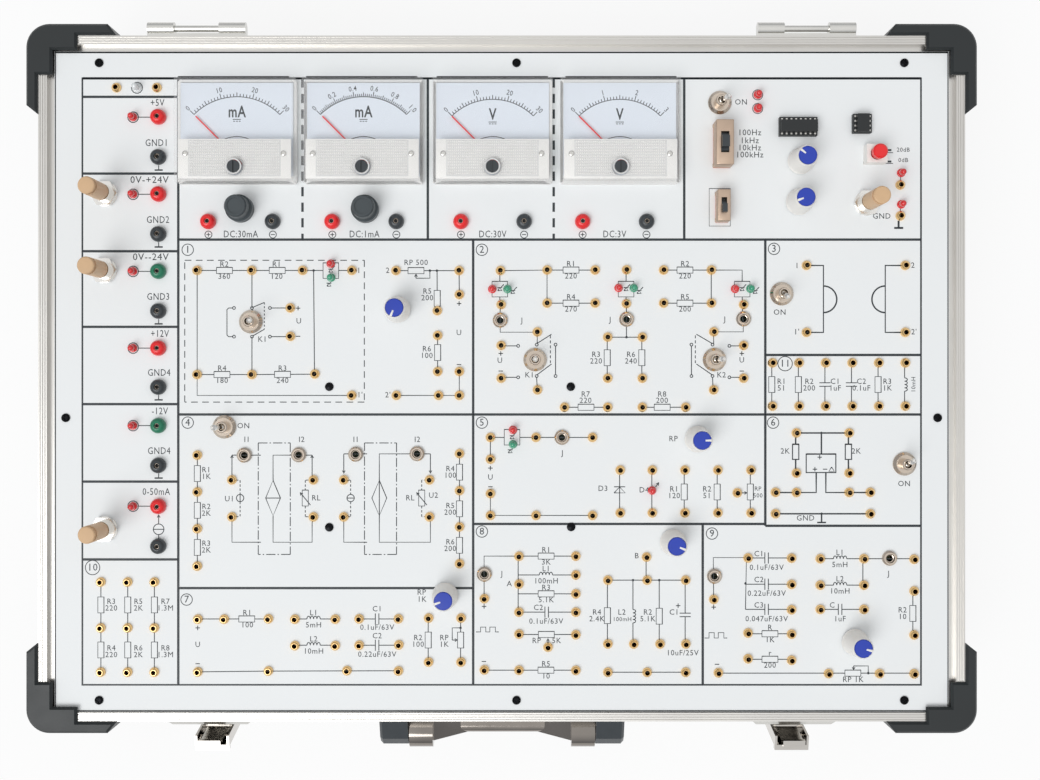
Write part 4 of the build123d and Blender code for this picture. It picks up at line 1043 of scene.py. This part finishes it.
# %% Circuits 4, 5 and 6
for rows, column in (((203.8, 223.7, 243.6, 263.8), 62.1), ((203.0, 223.0, 242.6, 262.5), 203.7)):
    for top, bottom in zip(rows, rows[1:]):
        part("R", (column, top), (column, bottom))
for near, middle, source, load, jack_1, jack_2, top in (
        (80.8, 103.0, 85.2, 120.4, 87.6, 116.9, 203.8), (141.2, 160.4, 144.9, 183.3, 147.7, 180.8, 203.1)):
    far = jack_2 + 7.2
    left, right = middle - 8.0, middle + 9.3
    for start, end in (((left, 197.2), (right, 197.2)), ((right, 197.2), (right, 257.5)),
                       ((right, 257.5), (left, 257.5)), ((left, 257.5), (left, 197.2))):
        thin += dashes(start, end, (5.0, 1.1, 0.8, 1.1))
    diamond = [(middle, 217.4), (middle + 4.0, 227.0), (middle, 236.6), (middle - 4.0, 227.0)]
    thin.append(diamond + diamond[:2])
    wire((jack_2, top), (middle, top), (middle, 217.4))
    wire((middle, 236.6), (middle, 250.9), (far, 250.9), (far, 237.2))
    wire((near, 237.2), (near, 250.9), (left + 1.4, 250.9))
    wire((jack_1, top), (left + 1.4, top))
    wire((jack_1, top), (near, top))
    wire((jack_2, top), (far, top))
    if near < 100:
        arrow((near, 217.2), (near, top))
        arrow((far, 217.2), (far, top))
        wire((middle - 4.0, 227.0), (middle + 4.0, 227.0))
        wire((source, 225.0), (source, 229.0))
    else:
        arrow((near, top), (near, 213.6))
        arrow((far, top), (far, 213.6))
        wire((middle, 217.4), (middle, 236.6))
        wire((source - 2.0, 227.0), (source + 2.0, 227.0))
    ring(source, 227.0, 2.0)
    for start, end in (((source, 217.4), (source, 225.0)), ((source, 229.0), (source, 237.0)),
                       ((near, 217.3), (source, 217.3)), ((near, 237.1), (source, 237.1)),
                       ((load, 217.4), (load, 222.7)), ((load, 231.3), (load, 237.0)),
                       ((far, 217.3), (load, 217.3)), ((far, 237.1), (load, 237.1))):
        thin += dashes(start, end, (1.3, 0.9))
    thin.append(rectangle(load - 1.65, 222.7, load + 1.65, 231.3))
    arrow((load + 2.8, 230.8), (load - 2.8, 224.0))

wire((220.4, 194.2), (227.9, 194.2))
wire((236.3, 194.2), (275.5, 194.2))
lamp_pair(232.1, 194.1, upright=False)
wire((220.4, 194.2), (220.4, 206.0))
wire((220.4, 224.6), (220.4, 236.4), (275.5, 236.4))
wire((290.2, 211.9), (290.2, 235.0))
thin.append([(287.2, 220.9), (293.2, 220.9)])
thin.append([(287.2, 224.2), (290.2, 221.0), (293.2, 224.2), (287.2, 224.2)])
wire((307.6, 211.9), (307.6, 235.0))
arrow((309.6, 221.0), (311.4, 218.6))
for column in (325.1, 342.9, 360.8):
    part("R", (column, 211.9), (column, 235.0), middle=11.8)
arrow((353.7, 224.2), (359.1, 224.2))

medium = [
    [(385.6, 191.8), (414.1, 191.8)], [(399.2, 191.8), (399.2, 203.2)], rectangle(391.0, 203.2, 407.0, 213.2),
    [(374.3, 224.0), (396.4, 224.0), (396.4, 213.2)], [(425.5, 224.0), (401.6, 224.0), (401.6, 213.2)],
    [(374.3, 235.5), (425.5, 235.5)], [(399.3, 235.5), (399.3, 240.2)], [(396.9, 240.2), (401.7, 240.2)],
]
for column in (385.3, 413.8):
    medium += [[(column, 191.8), (column, 197.9)], rectangle(column - 1.7, 197.9, column + 1.7, 206.1)]
    medium += [[(column, 206.1), (column, 213.5)]]
dot(399.2, 191.8)
dot(399.3, 235.5)
print("strokes so far:", len(thin) + len(medium))

# %% [markdown]
# Blocks 3, 7, 8, 9, 10 and 11 are mostly rows of parts between two sockets, which the part helper
# draws in one line each.

# %% Circuits 3 and 7 to 11
for inner, outer, facing in ((400.3, 391.1, -90.0), (433.7, 444.4, 90.0)):
    medium.append([(outer, 101.2), (inner, 101.2), (inner, 137.4), (outer, 137.4)])
    medium.append(arc(inner, 119.5, 7.2, facing, facing + 180.0))
for step, kind in enumerate("RRCCRL"):
    column = 372.4 + 14.35 * step
    part(kind, (column, 153.9), (column, 177.3))

part("R", (62.4, 292.4), (100.5, 292.4), middle=26.4)
wire((62.4, 321.0), (100.5, 320.6), (170.7, 320.4))
for row in (292.4, 306.6):
    part("L", (114.8, row), (136.6, row), middle=10.1)
    part("C", (149.5, row), (170.7, row), middle=9.7)
part("R", (186.8, 291.9), (186.8, 315.7))
part("R", (204.3, 291.9), (204.3, 315.7))
wire((204.3, 297.2), (199.8, 297.2), (199.8, 303.8))
arrow((199.8, 303.8), (202.7, 303.8))
dot(204.3, 297.2)

wire((217.0, 281.4), (217.0, 258.4), (235.8, 258.4))
part("R", (235.8, 258.4), (266.5, 258.4), middle=14.7)
wire((235.4, 258.4), (235.4, 288.7))
part("L", (235.4, 268.6), (266.5, 268.6), middle=15.0)
part("R", (235.4, 278.8), (266.5, 278.8), middle=15.1)
part("C", (235.8, 288.7), (266.5, 288.7), middle=15.0)
part("R", (235.8, 300.8), (266.5, 300.8), middle=14.8)
arrow((251.5, 307.6), (251.5, 303.0))
wire((217.1, 320.1), (235.8, 320.1))
part("R", (235.8, 320.1), (266.5, 320.1), middle=14.6)
wire((283.8, 271.4), (325.8, 271.4))
wire((304.5, 258.9), (304.5, 271.4))
wire((283.8, 321.2), (325.8, 321.2))
part("R", (283.6, 271.4), (283.6, 305.9), middle=19.2)
part("L", (297.4, 271.4), (297.4, 305.9), middle=19.5)
part("R", (311.6, 271.4), (311.6, 305.9), middle=19.5)
part("C", (325.6, 271.4), (325.6, 305.9), middle=18.8)
dot(297.4, 271.4)
dot(311.6, 271.4)
dot(358.2, 273.2)

wire((341.0, 281.8), (340.8, 259.2), (358.7, 259.2), (358.2, 287.2))
for row in (259.4, 273.6, 287.2):
    part("C", (358.2, row), (383.0, row), middle=11.4)
for row in (300.4, 314.2):
    part("R", (359.5, row), (383.0, row), middle=11.9)
for row in (259.8, 274.1):
    part("L", (398.5, row), (422.1, row), middle=10.8)
part("C", (398.5, 287.2), (422.1, 287.2), middle=10.8)
wire((422.1, 259.8), (449.2, 259.8))
wire((421.6, 259.8), (421.6, 274.1))
part("R", (448.6, 277.3), (448.6, 301.0), middle=12.1)
wire((343.5, 321.7), (403.0, 321.7))
part("R", (403.0, 321.7), (449.2, 321.7), middle=13.2)
wire((424.5, 321.7), (424.5, 317.8), (416.6, 317.8))
arrow((416.6, 317.8), (416.6, 320.0))
dot(424.5, 321.7)
for left, high, low in ((212.7, 296.8, 299.4), (336.1, 299.8, 302.7)):
    steps = [(0, 1), (2.4, 1), (2.4, 0), (5.2, 0), (5.2, 1), (7.4, 1), (7.4, 0), (10.4, 0)]
    steps += [(10.4, 1), (12.2, 1)]
    thin.append([(left + along, low if down else high) for along, down in steps])
for column in (10.0, 24.5, 38.9):
    part("R", (column, 272.4), (column, 297.2))
    part("R", (column, 297.2), (column, 321.1))
for colour in ("red", "green"):
    for row in supply_rows[colour]:
        wire((supply_lamp_column + 2.6, row), (supply_column - 4.0, row))
        ring(supply_lamp_column, row, 2.9)
for row in supply_rows["black"][:-1]:
    wire((supply_column, row + 4.4), (supply_column, row + 6.9))
    medium.append([(supply_column - 2.2, row + 6.9), (supply_column + 2.2, row + 6.9)])
source_row, source_radius = 243.9, 2.9
arrow((supply_column, source_row - source_radius), (supply_column, 236.0))
wire((supply_column, source_row + source_radius), (supply_column, 248.9))
ring(supply_column, source_row, source_radius)
wire((supply_column - source_radius, source_row), (supply_column + source_radius, source_row))
ring(29.5, 5.1, 3.0)
print("strokes in all:", len(thin) + len(medium))
draw("thin_print", thin, 0.5, print_ink, rise=0.02)
draw("medium_print", medium, 0.85, print_ink, rise=0.01)
draw("dots_print", small_dots, 0.85, print_ink, rise=0.03)
draw("arrow_print", arrows, 0.55, print_ink, rise=0.03)

# %% [markdown]
# Lettering is a text object with the font that is built into Blender, made a mesh, and pressed to the
# ink's thickness like the pen strokes. All labels of one size and height become one piece.

# %% Labels
cap_share = 0.64


def letter(name, labels, cap, finish, rise=0.03, body="case", stretch=0.98, weight=0.0):
    """Sets labels, each a column, row, words and turn in degrees, their middles at those places."""
    made = []
    for u, v, words, *turn in labels:
        drop_all()
        bpy.ops.object.text_add()
        text = bpy.context.object.data
        text.body = words
        text.size = cap / cap_share * MM
        text.align_x = "CENTER"
        text.align_y = "CENTER"
        text.extrude = ink_thickness / 2 * MM
        text.resolution_u = 2
        text.offset = weight * MM
        text.space_character = 1.1
        bpy.ops.object.convert(target="MESH")
        word = bpy.context.object
        word.data.transform(Matrix.Diagonal((stretch, 1, 1, 1)))
        move_mesh(word, place(u, v, rise), turn[0] if turn else 0.0)
        made.append(word)
    join(made)
    return finish_piece(name, finish, body)


label_cap, small_cap, supply_cap = 2.7, 2.1, 3.4
supply_words = [
    (40.5, 21.0, "+5V"), (40.1, 42.7, "GND1"), (36.2, 62.7, "0V-+24V"), (40.8, 84.3, "GND2"),
    (36.9, 104.4, "0V--24V"), (41.0, 125.9, "GND3"), (41.8, 145.9, "+12V"), (41.4, 167.0, "GND4"),
    (41.8, 187.8, "-12V"), (41.4, 209.3, "GND4"), (39.9, 231.4, "0-50mA"),
]
supply_labels = [(u, row - 7.7, words) for u, row, words in supply_words]
for (left, right), words in zip(meter_socket_columns, ("DC:30mA", "DC:1mA", "DC:30V", "DC:3V")):
    supply_labels.append(((left + right) / 2, 84.4, words))
wide_labels = [label for label in supply_labels if "24V" in label[2]]
narrow_labels = [label for label in supply_labels if "24V" not in label[2]]
letter("supply_print", narrow_labels, supply_cap, print_ink, stretch=0.8)
letter("supply_range_print", wide_labels, supply_cap, print_ink, stretch=1.0)
labels = [(355.8, 12.9, "ON"), (431.8, 74.6, "GND"), (376.7, 126.6, "ON"), (443.9, 219.3, "ON")]
labels += [(87.0, 188.0, "ON"), (390.6, 237.9, "GND")]
labels += [(116.9, 131.3, "U"), (97.2, 141.2, "K1"), (203.4, 137.6, "U")]
labels += [(225.5, 152.6, "U"), (241.5, 160.5, "K1"), (356.2, 152.4, "U"), (345.2, 160.5, "K2")]
labels += [(237.4, 131.0, "J"), (285.1, 130.6, "J"), (347.0, 130.4, "J")]
labels += [(116.5, 124.3, "+"), (116.5, 139.5, "-"), (203.5, 121.8, "+"), (203.4, 154.8, "-")]
labels += [(226.0, 148.8, "+"), (226.0, 158.3, "-"), (356.2, 148.8, "+"), (356.2, 158.3, "-")]
labels += [(149.3, 104.0, "1"), (149.9, 171.3, "1'"), (164.9, 104.0, "2"), (165.0, 171.3, "2'")]
labels += [(386.0, 101.4, "1"), (385.8, 137.2, "1'"), (448.6, 101.2, "2"), (449.2, 137.2, "2'")]
labels += [(220.4, 210.8, "+"), (220.4, 215.8, "U"), (220.4, 220.9, "-"), (259.3, 202.7, "J")]
labels += [(88.9, 195.4, "I1"), (118.4, 195.4, "I2"), (147.8, 195.4, "I1"), (180.9, 195.4, "I2")]
labels += [(79.4, 227.5, "U1"), (189.6, 225.6, "U2"), (126.2, 227.0, "RL"), (177.0, 227.0, "RL")]
labels += [(62.3, 306.3, "U"), (62.3, 297.2, "+"), (62.3, 316.6, "-"), (183.2, 278.0, "RP")]
labels += [(183.4, 281.8, "1K"), (217.0, 285.6, "+"), (216.9, 315.4, "-"), (230.6, 273.4, "A")]
labels += [(299.4, 258.3, "B"), (226.6, 268.0, "J"), (271.8, 170.9, "R7"), (271.8, 174.3, "220")]
labels += [(313.1, 170.9, "R8"), (313.1, 174.3, "200"), (281.2, 221.9, "D3"), (303.4, 222.7, "D4")]
labels += [(319.2, 195.0, "RP"), (379.6, 201.7, "2K"), (418.0, 201.7, "2K"), (245.3, 304.2, "RP")]
labels += [(256.1, 304.2, "5K"), (324.2, 310.8, "10uF/25V"), (416.3, 325.2, "RP 1K")]
labels += [(398.3, 204.9, "+"), (395.7, 211.4, "+"), (401.2, 211.4, "-")]
labels += [(341.0, 286.0, "+"), (342.8, 316.9, "-"), (435.5, 268.0, "J"), (321.8, 285.2, "+")]
beside = [
    (76.6, 103.9, "R2", "360"), (104.9, 103.9, "R1", "120"), (75.4, 160.2, "R4", "180"),
    (108.1, 160.2, "R3", "240"), (180.2, 103.0, "RP 500", ""), (263.9, 103.7, "R1", "220"),
    (263.9, 121.6, "R4", "270"), (325.5, 103.7, "R2", "220"), (325.5, 121.6, "R5", "200"),
    (89.0, 292.4, "R1", "100"), (124.9, 292.4, "L1", "5mH"), (124.9, 306.6, "L2", "10mH"),
    (250.5, 258.4, "R1", "3K"), (250.5, 268.6, "L1", "100mH"), (250.5, 278.8, "R3", "5.1K"),
    (250.4, 320.1, "R5", "10"), (371.4, 300.4, "R", "1K"), (371.4, 314.2, "r", "200"),
    (409.2, 259.8, "L1", "5mH"), (409.2, 274.1, "L2", "10mH"),
]
for u, v, above, below in beside:
    lift = 3.3
    labels += [(u, v - lift, above)] * bool(above) + [(u, v + lift, below)] * bool(below)
plates = [
    (159.2, 292.0, 0.0, -5.0, "C1", "0.1uF/63V"), (159.2, 306.6, 0.0, -5.0, "C2", "0.22uF/63V"),
    (250.5, 288.7, -4.2, -2.4, "C2", "0.1uF/63V"), (369.6, 259.6, -4.2, -2.4, "C1", "0.1uF/63V"),
    (369.6, 273.6, -4.2, -2.4, "C2", "0.22uF/63V"), (369.6, 287.4, -4.2, -2.4, "C3", "0.047uF/63V"),
    (409.2, 287.4, -4.2, -2.4, "C", "1uF"),
]
for u, v, aside_by, lift, above, below in plates:
    labels += [(u + aside_by, v + lift, above), (u, v + 5.0, below)]
aside = [
    (186.3, 117.0, "R5", "200"), (186.0, 148.2, "R6", "100"), (277.5, 151.2, "R3", "220"),
    (296.3, 151.2, "R6", "240"), (66.9, 213.6, "R1", "1K"), (66.9, 233.5, "R2", "2K"),
    (66.9, 253.4, "R3", "2K"), (198.7, 213.0, "R4", "100"), (198.7, 233.0, "R5", "200"),
    (198.7, 252.6, "R6", "200"), (319.6, 224.0, "R1", "120"), (337.4, 224.0, "R2", "51"),
    (181.3, 304.4, "R2", "100"), (195.4, 304.4, "RP", "1K"),
    (277.9, 290.6, "R4", "2.4K"), (305.4, 290.6, "R2", "5.1K"), (319.6, 290.6, "C1", ""),
    (291.4, 290.6, "L2", ""), (443.0, 289.4, "R2", "10"),
    (15.6, 284.8, "R3", "220"), (30.2, 284.8, "R5", "2K"), (44.8, 284.8, "R7", "1.3M"),
    (15.6, 310.0, "R4", "220"), (30.2, 310.0, "R6", "2K"), (44.8, 310.0, "R8", "1.3M"),
    (377.6, 165.8, "R1", "51"), (392.6, 165.8, "R2", "200"), (406.6, 165.8, "C1", "1uF"),
    (420.8, 165.8, "C2", "0.1uF"), (434.8, 165.8, "R3", "1K"),
]
for u, v, above, below in aside:
    labels += [(u, v - 1.8, above)] * bool(above) + [(u, v + 1.8, below)] * bool(below)
signs = [label for label in labels if label[2] in "+-"]
words = [label for label in labels if label[2] not in "+-"]
letter("label_print", words, label_cap, print_ink)
small = [(443.4, 38.7, "20dB"), (443.4, 44.3, "0dB"), (449.0, 165.6, "10mH", 90.0), (364.9, 222.0, "RP")]
small += [(364.9, 225.7, "500"), (291.6, 292.6, "100mH")]
letter("small_label_print", small, small_cap, print_ink)
sign_strokes = [[(404.7, 210.2), (406.2, 212.6), (403.2, 212.6), (404.7, 210.2)]]
for u, v, sign in signs:
    sign_strokes.append([(u - 1.2, v), (u + 1.2, v)])
    if sign == "+":
        sign_strokes.append([(u, v - 1.2), (u, v + 1.2)])
draw("sign_print", sign_strokes, 0.5, print_ink, rise=0.02)
ranges = [(29.4, "100Hz"), (33.7, "1kHz"), (37.6, "10kHz"), (41.4, "100kHz")]
letter("range_print", [(360.4, row, words) for row, words in ranges], 2.9, print_ink)
print("labels:", len(words) + len(small) + len(ranges), "signs:", len(signs))

# %% [markdown]
# Each block has its number in a ring, as a worksheet has. The rings are pen strokes and the numbers
# are a little larger than the labels.

# %% Block numbers
block_numbers = {
    10: (5.5, 264.6), 7: (56.3, 281.9), 4: (56.9, 186.2), 1: (56.9, 92.7), 2: (215.8, 92.7),
    5: (215.8, 186.2), 8: (215.8, 245.1), 3: (373.6, 92.2), 11: (379.6, 154.3), 6: (373.1, 186.2),
    9: (340.1, 246.2),
}
number_rings = [arc(u, v, 3.9 if number > 9 else 3.1) for number, (u, v) in block_numbers.items()]
for (left, right), signs in zip(meter_socket_columns, ["+-"] * 4):
    for u, sign in zip((left, right), signs):
        number_rings.append(arc(u, 84.5, 1.9, steps=18))
        number_rings.append([(u - 1.1, 84.5), (u + 1.1, 84.5)])
        if sign == "+":
            number_rings.append([(u, 83.4), (u, 85.6)])
draw("ring_print", number_rings, 0.45, print_ink, rise=0.02)
numbers = [(u, v, str(number)) for number, (u, v) in block_numbers.items()]
letter("number_print", numbers, 3.5, print_ink)
print("blocks:", len(block_numbers))

# %% [markdown]
# The generator block has a few marks of its own: an outline round the small slide switch, a ground
# sign, and the two positions of the push button drawn from the side.

# %% Generator marks
marks = [rectangle(338.6, 59.6, 350.0, 79.9), [(442.0, 51.0), (441.8, 57.7)], [(441.9, 68.2), (441.8, 74.4)]]
marks += [[(422.2, 37.0), (422.2, 45.7)], [(433.3, 40.2), (437.9, 40.2)], [(433.3, 46.0), (437.9, 46.0)]]
marks += [arc(364.8, 8.9, 2.75), arc(364.8, 16.3, 2.75)]
draw("generator_print", marks, 0.4, print_ink, rise=0.02)
bold = [[(440.9, 77.0), (440.9, 80.9)], [(438.5, 80.9), (443.4, 80.9)], [(421.8, 45.6), (430.7, 45.6)]]
bold += [[(434.2, 38.8), (437.0, 38.8)], [(434.2, 45.0), (437.0, 45.0)]]
draw("generator_bold_print", bold, 1.1, print_ink, rise=0.02)
print("marks:", len(marks) + len(bold))

# %% [markdown]
# A moving-coil meter shows a printed dial behind a clear cover, and a pale moulded apron with rows of
# beads that hides the movement. The scale is drawn from its own numbers: the first and last angle,
# the count of divisions, and how often a longer mark comes.

# %% Meter dials
dial_white = moulded("dial_white", "#E8EFF8", 0.4, grain=0.8, depth=0.002, cloud=30.0, amount=0.01)
pivot_drop = 13.8
dial_top, dial_half, dial_reach = 3.62, 30.3, 26.3
meters = [
    (("0", "10", "20", "30"), 30, "mA", 32.6, 45.0),
    (("0", "0.2", "0.4", "0.6", "0.8", "1.0"), 50, "mA", 32.6, 45.0),
    (("0", "10", "20", "30"), 30, "V", 31.2, 44.4), (("0", "1", "2", "3"), 30, "V", 31.2, 44.4),
]
middle, major = 5, 10


def polar(centre, radius, degrees):
    """A point of the dial at that angle from straight up, in columns and rows."""
    turn = math.radians(degrees)
    u, v = centre
    return (u - radius * math.sin(turn), v + pivot_drop - radius * math.cos(turn))


for number, (centre, (values, divisions, unit, scale_radius, half_turn)) in enumerate(
        zip(meter_places, meters), 1):
    u, v = centre
    box_between((-dial_half, -24.0, 3.55), (dial_half, dial_reach, dial_top))
    round_edges(0.02, 1)
    plate = finish_piece(f"dial_{number}", dial_white)
    move_mesh(plate, place(u, v))
    curve = [polar(centre, scale_radius, half_turn * (1 - step / 18)) for step in range(37)]
    ticks = [curve]
    for step in range(divisions + 1):
        angle = half_turn - 2 * half_turn * step / divisions
        reach = 2.9 if step % major == 0 else 2.3 if step % middle == 0 else 1.6
        ticks.append([polar(centre, scale_radius, angle), polar(centre, scale_radius + reach, angle)])
    unit_row = v + pivot_drop - scale_radius + 8.3
    rule, dash_row = unit_row + 3.9, unit_row + 4.9
    bars = [[(u - 2.0 + 1.5 * step, dash_row), (u - 1.0 + 1.5 * step, dash_row)] for step in range(3)]
    ticks += bars + [[(u - 2.2, rule), (u + 2.2, rule)]]
    hump = [math.sin(math.pi * step / 12) for step in range(13)]
    ticks.append([(u - 6.6 + 1.1 * step, v + 3.9 - 1.3 * rise) for step, rise in enumerate(hump)])
    draw(f"scale_{number}", ticks, 0.42, print_ink, rise=dial_top + 0.01)
    words = []
    for step, value in enumerate(values):
        angle = half_turn - 2 * half_turn * step / (len(values) - 1)
        words.append((*polar(centre, scale_radius + 4.6, angle), value, angle))
    letter(f"scale_numbers_{number}", words, 2.5, print_ink, dial_top + 0.02, stretch=0.85, weight=0.01)
    unit_words = [(u, unit_row, unit)]
    letter(f"unit_{number}", unit_words, 5.6, print_ink, dial_top + 0.02, stretch=0.72, weight=0.16)
print("dials:", len(meters))

# %% [markdown]
# The apron is one plate with rounded edges and a hole for the zero screw. One bead is a squashed dome
# of few faces. A row of them is copied by an Array modifier, and a second Array copies the rows. A grey
# plate just under the beads is painted shade in the gaps between them.

# %% Meter aprons
apron_plastic = moulded("apron_plastic", "#F7F6F3", 0.3, grain=0.6, depth=0.004, amount=0.02)
apron_low, apron_high = 8.7, 9.6
apron_half, apron_top, apron_bottom = 30.2, -5.0, -26.2
bead_pitch_across, bead_pitch_down, bead_radius = 1.12, 1.55, 0.46
bead_reach = 24.4
screw_row, screw_hole_radius, bead_clear_radius = 20.0, 4.5, 4.9
plate = box_between((-apron_half, apron_bottom, apron_low), (apron_half, apron_top, apron_high))
round_edges(0.2)
bpy.ops.object.mode_set(mode="OBJECT")


def screw_hole():
    """The round cutter for the zero screw."""
    drop_all()
    bpy.ops.mesh.primitive_cylinder_add(
        vertices=32, radius=screw_hole_radius * MM, depth=4 * MM,
        location=(0, -screw_row * MM, apron_high * MM))
    return bpy.context.object


hole = screw_hole()
drop_all()
bpy.context.view_layer.objects.active = plate
cut_with(hole)
plate.select_set(True)
apron = finish_piece("apron", apron_plastic)
bead_columns = int(2 * bead_reach / bead_pitch_across)
bead_rows = int((apron_top - apron_bottom - 2.0) / bead_pitch_down)
drop_all()
bpy.ops.mesh.primitive_ico_sphere_add(subdivisions=1, radius=bead_radius * MM, location=(
    -(bead_columns - 1) / 2 * bead_pitch_across * MM, (apron_top - 1.4) * MM, apron_high * MM))
bead = bpy.context.object
bead.scale = (0.85, 1.35, 1.1)
bpy.ops.object.mode_set(mode="EDIT")
bpy.ops.mesh.select_all(action="SELECT")
bpy.ops.mesh.bisect(
    plane_co=(0, 0, apron_high * MM - 0.05 * MM), plane_no=(0, 0, 1), clear_inner=True, use_fill=True)
bpy.ops.object.mode_set(mode="OBJECT")
bpy.ops.object.transform_apply(location=True, rotation=True, scale=True)
for count, step in ((bead_columns, (bead_pitch_across, 0, 0)), (bead_rows, (0, -bead_pitch_down, 0))):
    array = bead.modifiers.new("rows", "ARRAY")
    array.count = count
    array.use_relative_offset = False
    array.use_constant_offset = True
    array.constant_offset_displace = [side * MM for side in step]
    bpy.ops.object.modifier_apply(modifier="rows")
pick(lambda centre, normal: math.hypot(centre.x, centre.y + screw_row * MM) < bead_clear_radius * MM)
bpy.ops.mesh.delete(type="FACE")
beads = finish_piece("beads", apron_plastic, angle=60.0)
print("beads on one apron:", bead_columns * bead_rows)
# Painted shade: a grey plate under the beads darkens the gaps between them; the same grey serves the zero
# screw's ring.
bead_shade_and_ring_grey = moulded("bead_shade_and_ring_grey", "#E2E2E1", 0.5, amount=0.03)
shade_half, shade_low, shade_high = bead_reach + 0.3, apron_bottom + 1.2, apron_top - 0.6
bead_shade_plate = box_between((-shade_half, shade_low, apron_high - 0.3), (shade_half, shade_high, apron_high + 0.02))
hole = screw_hole()
drop_all()
bpy.context.view_layer.objects.active = bead_shade_plate
cut_with(hole)
bead_shade_plate.select_set(True)
bead_shade_plate = finish_piece("painted_bead_shade", bead_shade_and_ring_grey)
spots = [place(u, v) for u, v in meter_places]
for piece in (apron, bead_shade_plate, beads):
    repeat(piece, spots, piece.name)

# %% [markdown]
# Two small cross-slotted screws hold each cover, a pale ring closes the collar round the zero screw,
# and a dark strip along the back edge of the cover is painted shade of the cover's back wall.

# %% Cover screws and strips of painted shade
turn_up([(1.5, 9.5), (1.5, 10.15), (1.25, 10.4), (0.5, 10.55)], sides=20)
screw = bpy.context.object
bpy.ops.object.mode_set(mode="OBJECT")
for turn in (35, 125):
    drop_all()
    slot = box_between((-1.0, -0.16, 10.15), (1.0, 0.16, 11.0))
    slot.data.transform(Matrix.Rotation(math.radians(turn), 4, "Z"))
    drop_all()
    bpy.context.view_layer.objects.active = screw
    cut_with(slot)
screw.select_set(True)
finish_piece("cover_screw", plated_steel)
screw_aside, screw_down = 26.2, 12.9
screw_places = [place(u + side * screw_aside, v + screw_down) for u, v in meter_places for side in (-1, 1)]
repeat(screw, screw_places, "cover_screw")
ring_profile = [
    (3.55, 12.1), (4.3, 12.1), (4.3, 12.25), (4.15, 12.4), (3.7, 12.4), (3.55, 12.3), (3.55, 12.1)]
turn_up(ring_profile, sides=32)
pick(lambda centre, normal: math.hypot(centre.x, centre.y) < 1.0 * MM)
bpy.ops.mesh.delete(type="FACE")
screw_ring = finish_piece("screw_ring", bead_shade_and_ring_grey)
move_mesh(screw_ring, Vector((0, -screw_row * MM, 0)))
repeat(screw_ring, spots, "screw_ring")
# Painted shade: a dark strip along the back wall of each cover.
box_between((-29.5, 27.2, 11.5), (29.5, 27.9, 11.56))
round_edges(0.02)
finish_piece("cover_shade_strip", chip_plastic)
repeat(bpy.context.object, spots, "cover_shade_strip")
print("cover screws:", len(screw_places))

# %% [markdown]
# The studio is a white floor that fades into a white surround, one broad lamp from the front left,
# and soft light from all round. What the camera and mirror-like metal see of floor and world is set
# apart from what lights the trainer, so the background is white without flooding the part with light.

# %% Floor and light
floor_glow = 0.85
drop_all()
bpy.ops.mesh.primitive_plane_add(size=6.0, location=(0, 0, 0))
floor = bpy.context.object
floor.name = "floor"
floor_white = Finish("floor_white", "#F4F5F5", 0.6)
path = floor_white.node("LightPath")
rays = path.socket.node.outputs
seen = Wire(floor_white, rays["Is Camera Ray"]) + Wire(floor_white, rays["Is Glossy Ray"])
seen = (seen + Wire(floor_white, rays["Is Transmission Ray"])).least(1.0)
glow = floor_white.node("Emission", sockets={"Color": (1, 1, 1, 1), "Strength": 1.0})
both = floor_white.node("MixShader", sockets={0: seen * floor_glow, 2: glow})
floor_white.tree.links.new(floor_white.shader.outputs[0], both.socket.node.inputs[1])
floor_white.tree.links.new(
    both.socket, floor_white.tree.nodes["Material Output"].inputs["Surface"])
floor.data.materials.append(floor_white.material)
floor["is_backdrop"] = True

world = bpy.data.worlds.new("studio")
bpy.context.scene.world = world
world.use_nodes = True


class Surround(Finish):
    """The world's nodes, added in the same way as a material's."""

    def __init__(self, tree):
        self.tree = tree
        self.shader = tree.nodes["Background"]


lit_strength, shown_strength = 0.68, 1.0
surround = Surround(world.node_tree)
path = surround.node("LightPath")
rays = path.socket.node.outputs
by_camera = Wire(surround, rays["Is Camera Ray"])
by_mirror = Wire(surround, rays["Is Glossy Ray"]) + Wire(surround, rays["Is Transmission Ray"])
direction = surround.node("TexCoord", output="Generated")
upward = surround.node("SeparateXYZ", sockets={"Vector": direction}, output="Z")
height = surround.node("MapRange", sockets={"Value": upward, "From Min": 0.1, "From Max": 0.95})
fade = surround.mix(height, (0.42, 0.43, 0.45, 1), (1, 1, 1, 1))
surround.set("Color", surround.mix(by_camera, fade, (1, 1, 1, 1)))
shown = (by_camera + by_mirror).least(1.0)
surround.set("Strength", shown * (shown_strength - lit_strength) + lit_strength)

bpy.ops.object.light_add(type="SUN", rotation=(math.radians(35), 0, math.radians(-40)))
sun = bpy.context.object.data
sun.energy = 1.4
sun.angle = math.radians(38)
bpy.context.scene.view_settings.view_transform = "Standard"
print("floor and lamps are in place")

# %% [markdown]
# Last, the dressed model's box is printed in millimetres: the looks are not meant to change the size.

# %% Sizes and finish
low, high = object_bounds()
print("dressed box in mm:", [round(side / MM, 1) for side in high - low])
